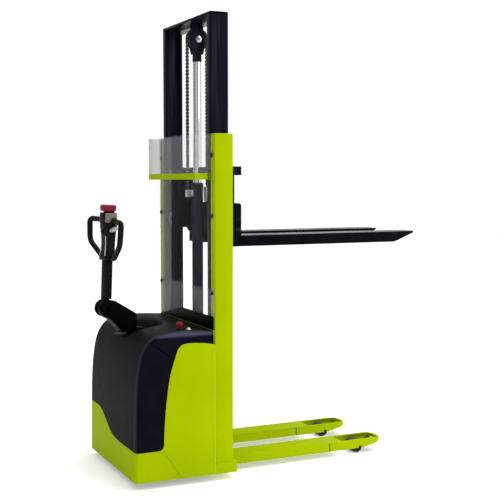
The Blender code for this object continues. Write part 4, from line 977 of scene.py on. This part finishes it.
def tiller_arm():
    """The cast arm from the steering column up to the tiller's hinge, with its pin."""
    knuckle = arc((HINGE_X, HINGE_Z), KNUCKLE, 72, 262, 28)
    under = [(-0.4480, 0.8180), (-0.3970, 0.7640), (-0.3880, 0.7520), (-0.2600, 0.7520), (-0.2600, 0.7680)]
    front = [(-0.3020, 0.7740), (-0.3020, 0.8380), (-0.3080, 0.8500), (-0.4300, 0.9230)]
    arm = Shape().plate(knuckle + under + front, "XZ", -CHEEK_OUTER, CHEEK_OUTER, 0.0045, 4, 20).object(
        "tiller_arm_finished", Matrix())
    slot = Shape().disc(KNUCKLE + 0.0005, 2 * CHEEK_INNER, (HINGE_X, 0, HINGE_Z), "Y", 0.0001, 64)
    mouth = Shape().block((-0.60, HINGE_X + 0.019), (-CHEEK_INNER, CHEEK_INNER), (HINGE_Z - 0.022, 1.0), 0)
    combined(arm, "DIFFERENCE", slot.cutter(), mouth.cutter())
    arm.data.transform(STEERED)
    dress(arm, "arm_paint", "steering", ("tiller_arm",))
    flange = Shape().disc(0.039, 0.014, (STEER_X, 0, 0.7600), "Z", 0.002, 64)
    for angle in (60, 120, 240, 300):
        turn = math.radians(angle)
        at = (STEER_X + 0.031 * math.cos(turn), 0.031 * math.sin(turn), 0.7670)
        flange.hexagon(0.008, 0.004, at, "Z", 0.0006)
    flange.piece("tiller_arm_flange", "arm_paint", "steering", STEERED)
    pin = Shape().disc(0.008, 0.070, (HINGE_X, 0, HINGE_Z), "Y", 0.0008, 32)
    for out in (1, -1):
        pin.disc(0.012, 0.0012, (HINGE_X, out * (CHEEK_OUTER + 0.0004), HINGE_Z), "Y", 0.0004, 40)
    pin.stand_in("tiller_hinge_pin", "arm_paint", STEERED)
    Shape().disc(0.0065, 0.016, (-0.409, -0.026, 0.7690), "Y", 0.001, 24).piece(
        "arm_stop_screw", "stop_grey", "steering", STEERED)


def tiller():
    """The drawbar, the head with its collar, the two grip loops and the controls."""
    bar_x = HINGE_X + 0.006
    head_x = bar_x + 0.004
    head_bottom = 1.136
    half = 0.028
    lug = Shape().disc(0.040, 2 * CHEEK_INNER - 0.0012, (HINGE_X, 0, HINGE_Z), "Y", 0.003, 64)
    for i in range(5):
        turn = math.radians(160 + i * 12)
        at = (HINGE_X + 0.0400 * math.cos(turn), HINGE_Z + 0.0400 * math.sin(turn))
        lug.tube([(at[0], y, at[1]) for y in (-0.016, 0.016)], 0.0016, 8)
    lug.piece("drawbar_lug", "arm_paint", "tiller", TILTED)
    bar = Shape().block((HINGE_X - 0.016, HINGE_X + 0.0165), (-0.0170, 0.0170), (HINGE_Z, 0.945), 0.003, 3)
    bar.block((bar_x - 0.0185, bar_x + 0.0195), (-0.027, 0.027), (0.9325, head_bottom - 0.0003), 0.0035, 3)
    bar.stand_in("tiller_drawbar", "drawbar_paint", TILTED)

    waist, chest, top = 0.027, 0.036, 1.384
    rear = [(head_x - 0.030, head_bottom + 0.02), (head_x - waist, 1.225), (head_x - 0.033, 1.275)]
    rear += [(head_x - chest - 0.004, 1.315), (head_x - chest - 0.006, top)]
    front = [(head_x + chest - 0.004, top), (head_x + chest, 1.315), (head_x + 0.031, 1.275)]
    front += [(head_x + waist, 1.225), (head_x + 0.028, head_bottom + 0.02)]
    shape = Shape().plate(rounded(rear, 0.02) + rounded(front, 0.02), "XZ", -half, half, 0.007, 4, 40)
    shape.block((head_x - 0.035, head_x + 0.031), (-0.037, 0.037), (head_bottom, head_bottom + 0.026), 0.006, 4)
    shape.block((head_x - 0.026, head_x + 0.022), (-0.018, 0.018), (top - 0.004, 1.404), 0.003)
    shape.stand_in("tiller_head", "black_plastic", TILTED)
    # Painted highlight: thin pale grey tubes down the head's two rear edges.
    edge_highlights = Shape()
    for _, side in SIDES:
        edge_highlights.tube([(head_x - 0.0335, side * 0.030, 1.160), (head_x - 0.0275, side * 0.0235, 1.222),
                    (head_x - 0.0300, side * 0.0250, 1.262)], 0.0022, 10)
    edge_highlights.piece("head_edge_highlights", "highlight_grey", "tiller", TILTED)
    grips(bar_x, head_x, half)
    head_controls(head_x, half, top)


def grips(bar_x, head_x, half):
    """A closed loop grip on each side, swelling where the hand holds it."""
    grip_x = bar_x - 0.018
    for name, side in SIDES:
        corners = [(head_x + 0.006, half + 0.0003, 1.343), (head_x + 0.006, 0.045, 1.343), (grip_x, 0.178, 1.342)]
        corners += [(grip_x, 0.169, 1.224), (head_x, 0.068, 1.150), (head_x, 0.0383, 1.150)]
        line = rounded([(x, side * y, z + 0.05 * side * y) for x, y, z in corners], 0.030, 9)

        def thickness(share):
            return 0.0142 + 0.0009 * math.exp(-(((share - 0.5) / 0.16) ** 2))

        Shape().tube(line, thickness, 24).stand_in(f"grip_loop_{name}", "black_plastic", TILTED)


def head_controls(head_x, half, top):
    """The reversing button, the pale cheeks, the throttle's two wings and the lift rocker."""
    button = Shape().block((head_x - 0.0435, head_x + 0.030), (-0.0268, 0.0268), (1.3920, 1.4255), 0.009, 5)
    button.stand_in("belly_button", "red_plastic", TILTED)
    base = Shape().block((head_x - 0.041, head_x + 0.031), (-0.0255, 0.0255), (top - 0.006, 1.3852), 0.002, 2)
    base.piece("belly_button_base", "black_plastic", "tiller", TILTED)

    cheek = [(head_x - 0.038, 1.3330), (head_x - 0.004, 1.3330), (head_x - 0.002, 1.3545), (head_x + 0.031, 1.3575)]
    cheek += [(head_x + 0.030, top - 0.002), (head_x - 0.038, top - 0.002)]
    for name, side in SIDES:
        low, high = outward(side, half + 0.0003, half + 0.007)
        outline = rounded(cheek + cheek[:1], 0.010)[:-1]
        Shape().plate(outline, "XZ", low, high, 0.003, 4).stand_in(f"head_cheek_{name}", "grey_plastic", TILTED)
    clip = Shape().block((head_x - 0.0375, head_x - 0.034), (0.008, 0.030), (1.3355, 1.3410), 0.001)
    clip.piece("head_clip", "grey_plastic", "tiller", TILTED)

    pivot_z = 1.298
    wing = [(head_x - 0.012, pivot_z - 0.014), (head_x + 0.004, pivot_z - 0.014), (head_x + 0.034, pivot_z + 0.002)]
    wing += [(head_x + 0.034, pivot_z + 0.012), (head_x + 0.006, pivot_z + 0.012), (head_x - 0.012, pivot_z - 0.002)]
    throttle = Shape().disc(0.0065, 0.058, (head_x, 0, pivot_z), "Y", 0.0005, 24)
    for _, side in SIDES:
        low, high = outward(side, half + 0.0008, half + 0.024)
        throttle.plate(rounded(wing + wing[:1], 0.006)[:-1], "XZ", low, high, 0.0035, 4)
    throttle.stand_in("throttle", "wing_plastic", TILTED)

    face_x, rocker_z = head_x - 0.0325, 1.285
    rocker = Shape().disc(0.0105, 0.021, (face_x, 0, rocker_z), "Y", 0.001, 40)
    rocker.block((face_x - 0.007, face_x - 0.001), (-0.0105, 0.0105), (rocker_z - 0.014, rocker_z + 0.014), 0.002, 3)
    rocker.stand_in("lift_rocker", "black_plastic", TILTED)


# ---------------------------------------------------------------- stage, lights and camera
def stage():
    """A pale floor, soft light from all round, and one large soft key from the right."""
    floor = Shape().plate([(-14, -14), (14, -14), (14, 26), (-14, 26)], "XY", -0.02, 0.0, 0).object("floor")
    nodes = Nodes("pale_floor")
    nodes.set(Roughness=0.9, Specular_IOR_Level=0.05, Emission_Color=(1, 1, 1, 1), Emission_Strength=0.32)
    nodes.colour(nodes.mix(nodes.spread(nodes.noise(1.5), 0.0, 1.0), (0.955, 0.955, 0.965), (0.97, 0.97, 0.975)))
    floor.data.materials.append(nodes.material)

    world = bpy.data.worlds.new("soft_room")
    bpy.context.scene.world = world
    world.use_nodes = True
    background = world.node_tree.nodes["Background"]
    tree = world.node_tree
    across = tree.nodes.new("ShaderNodeSeparateXYZ")
    tree.links.new(tree.nodes.new("ShaderNodeTexCoord").outputs["Generated"], across.inputs["Vector"])
    fade = tree.nodes.new("ShaderNodeMapRange")
    for socket, value in (("From Min", -0.90), ("From Max", 0.05), ("To Min", 0.45), ("To Max", 1.0)):
        fade.inputs[socket].default_value = value
    tree.links.new(across.outputs["X"], fade.inputs["Value"])
    tree.links.new(fade.outputs["Result"], background.inputs["Color"])
    background.inputs["Strength"].default_value = 1.0
    bpy.context.scene.view_settings.view_transform = "Standard"
    area_light("key", (2.2, -4.6, 3.4), (0.0, 0.0, 0.9), 2.6, 45)
    area_light("top", (1.1, -0.3, 4.6), (0.5, 0.0, 0.0), 2.8, 190)


def area_light(name, at, target, size, power):
    light = bpy.data.lights.new(name, "AREA")
    light.shape = "SQUARE"
    light.size = size
    light.energy = power
    made = bpy.data.objects.new(name, light)
    made.location = at
    made.rotation_euler = (Vector(target) - Vector(at)).to_track_quat("-Z", "Y").to_euler()
    bpy.context.scene.collection.objects.link(made)


EYE = Vector((-2.019, -5.094, 1.551))


def camera():
    """The viewpoint: behind and to the right of the truck, at chest height, looking slightly down."""
    yaw, pitch = math.radians(25.265), math.radians(3.952)
    lens = bpy.data.cameras.new("camera")
    lens.lens = 72.4
    lens.sensor_width = 36
    made = bpy.data.objects.new("camera", lens)
    made.location = MAST @ EYE
    made.rotation_euler = (math.pi / 2 - pitch, 0, -yaw)
    bpy.context.scene.collection.objects.link(made)
    bpy.context.scene.camera = made


camera()
stage()
chassis_metal()
covers()
hood_controls()
lift_cylinder()
inner_mast()
pulley()
chains()
chain_anchors()
carriage_and_forks()
running_gear()
inside_parts()
tiller_arm()
tiller()
